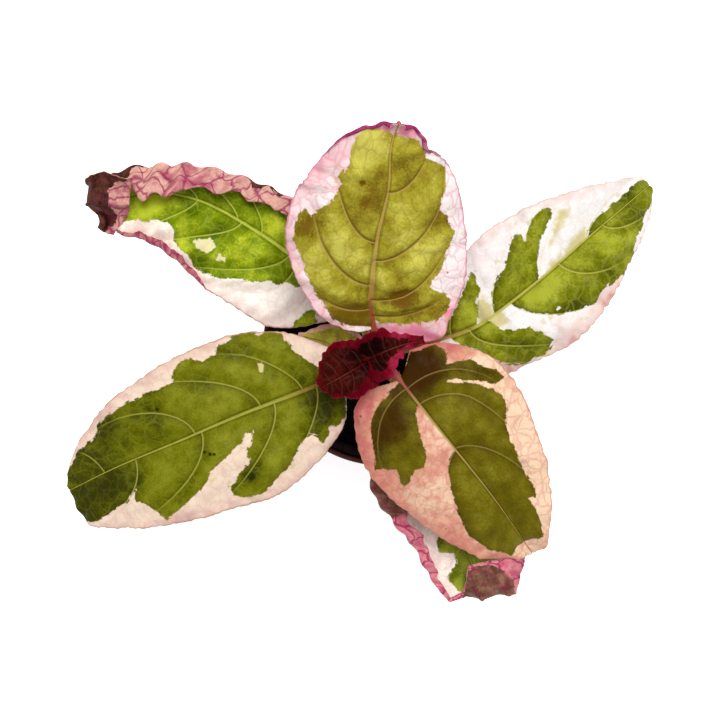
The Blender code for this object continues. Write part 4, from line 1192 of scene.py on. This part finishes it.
# Young pair: the two newest leaves at the top of the stem, still small and crumpled, dark maroon
# with frilled crimson margins. The right one lies over the foot of the left one.
YOUNG = dict(
    LEAF, node=113, petiole=0.7, rib=0.45, quilt=0.8, frill_length=5, crinkle_length=3.2,
    veins_left=[(0.8, 0.8), (1.8, 0.8), (2.8, 0.6), (3.8, 0.4)],
    veins_right=[(0.8, 0.8), (1.8, 0.8), (2.8, 0.6), (3.8, 0.4)])

young_left = dict(
    YOUNG, seed=80, grid=(120, 120), frill=0.9, crinkle=0.4,
    midrib=[(-5.6, -5.2, 117), (-9, -7.2, 117.8), (-13.5, -9.8, 118.2), (-18.6, -12.6, 116)],
    left=[
        (0, -3.5, 6.3, 0.5), (2, 0.5, 7, 0), (6, 7, 7.4, -0.8), (9.5, 10.5, 5.8, -1),
        (12, 13.4, 3.8, -0.5), (15.3, 15.3, 1.4, 0)],
    right=[
        (0, -1, 6, 0.5), (2, 2, 8, 0.5), (6, 6.5, 9.2, 0.5), (9.5, 9.5, 8, 0.5), (12, 12.4, 5.8, 0),
        (15.3, 15.3, 1.8, 0)],
    green_left=[[(0, 0), (0.5, 35), (1, 50), (2, 65), (3, 75), (4, 80), (4.6, 70), (4.8, 0)]],
    green_right=[[(0, 0), (0.4, 70), (1, 80), (2, 82), (3, 84), (4, 85), (4.6, 70), (4.8, 0)]],
    shade_and_flecks_left=[(0.3, 20, 4, 2)],
    shade_and_flecks_right=[(0.5, 50, 5, 2.2)])
young_look = dict(
    LOOK, dark=(44, 6, 2), green=(70, 18, 8), light=(100, 44, 28), deep=(20, 0, 0), vein=(150, 80, 74),
    base_vein=(90, 16, 24), red_length=10, cream=(94, 3, 22), pink=(124, 8, 36), net=(66, 0, 14),
    rose=(166, 40, 70), pale=(80, 4, 18), net_green=0.3, cream_vein=(110, 14, 36), margin=(150, 30, 64),
    steps=0.9, vein_strength=0.12, spot=(52, 2, 8), green_net=(104, 46, 38), rib_strength=0.45,
    gloss=0.03, under_dark=(70, 22, 30), under_light=(120, 60, 70), under_pink=(170, 110, 124),
    under_rose=(150, 50, 80), under_net=(110, 10, 50), under_rib=(170, 90, 100))
make_leaf("young_left_leaf", "leaf_young_left", young_left, young_look)

young_right = dict(
    YOUNG, seed=90, grid=(110, 120), frill=0.7, crinkle=0.5,
    midrib=[(-5.4, -4.3, 118.8), (-2, -2.9, 121), (4, -0.6, 123.5), (10.6, 1, 123)],
    left=[
        (0, -3.9, 5.2, 0.5), (3, 1.4, 6, 1), (7, 6.5, 6.4, 0), (10, 10.2, 4, -0.5),
        (13.5, 14.8, 2, -0.5), (17.2, 17.2, 0.8, 0)],
    right=[
        (0, -1.5, 6.6, -0.5), (3, 3.8, 7.4, -1), (7, 7.5, 4.8, -1.2), (10, 11.2, 2.2, -1.2),
        (13.5, 14.5, 1.4, -1), (17.2, 17.2, 0.6, 0)],
    green_left=[
        [(0, 0), (0.2, 75), (1, 75), (1.6, 70), (2, 50), (3, 50), (4, 50), (4.7, 40), (4.8, 0)]],
    green_right=[[(0, 0), (0.4, 60), (1, 60), (2, 50), (3, 50), (4, 50), (4.6, 40), (4.7, 0)]],
    shade_and_flecks_left=[(0.5, 40, 4, 2.2), (1.5, 30, 4, 1.6)],
    shade_and_flecks_right=[(0.8, 30, 4, 2)],
    blush_left=[(3.3, 80, 3.5, 1.6)],
    blush_right=[(2, 100, 4, 1.5), (3, 100, 4, 2)])
make_leaf("young_right_leaf", "leaf_young_right", young_right, young_look)


# The stage: a plain pale floor, a large soft light overhead, and an even pale sky. In metres.
FLOOR_SIZE = 6
FLOOR_GREY = 0.9
FLOOR_GLOW = 0.6
KEY_PLACE = (0.15, 0.4, 1.4)
KEY_SIZE = 0.7
KEY_POWER = 16
SKY_STRENGTH = 0.58

bpy.ops.mesh.primitive_plane_add(size=FLOOR_SIZE)
floor = bpy.context.object
floor.name = "floor"
floor_finish = Finish("pale_floor")
floor_finish.shader.inputs["Base Color"].default_value = (FLOOR_GREY, FLOOR_GREY, FLOOR_GREY, 1)
floor_finish.shader.inputs["Roughness"].default_value = 0.8
floor_finish.shader.inputs["Emission Color"].default_value = (1, 1, 1, 1)
floor_finish.shader.inputs["Emission Strength"].default_value = FLOOR_GLOW
floor.data.materials.append(floor_finish.material)

bpy.ops.object.light_add(type="AREA", location=KEY_PLACE)
key = bpy.context.object
key.name = "key_light"
key.data.shape = "DISK"
key.data.size = KEY_SIZE
key.data.energy = KEY_POWER
key.rotation_euler = (math.atan2(-KEY_PLACE[1], KEY_PLACE[2]), 0, 0)

world = bpy.data.worlds.new("pale_sky")
world.use_nodes = True
background = world.node_tree.nodes["Background"]
background.inputs["Color"].default_value = (1, 1, 1, 1)
background.inputs["Strength"].default_value = SKY_STRENGTH
bpy.context.scene.world = world
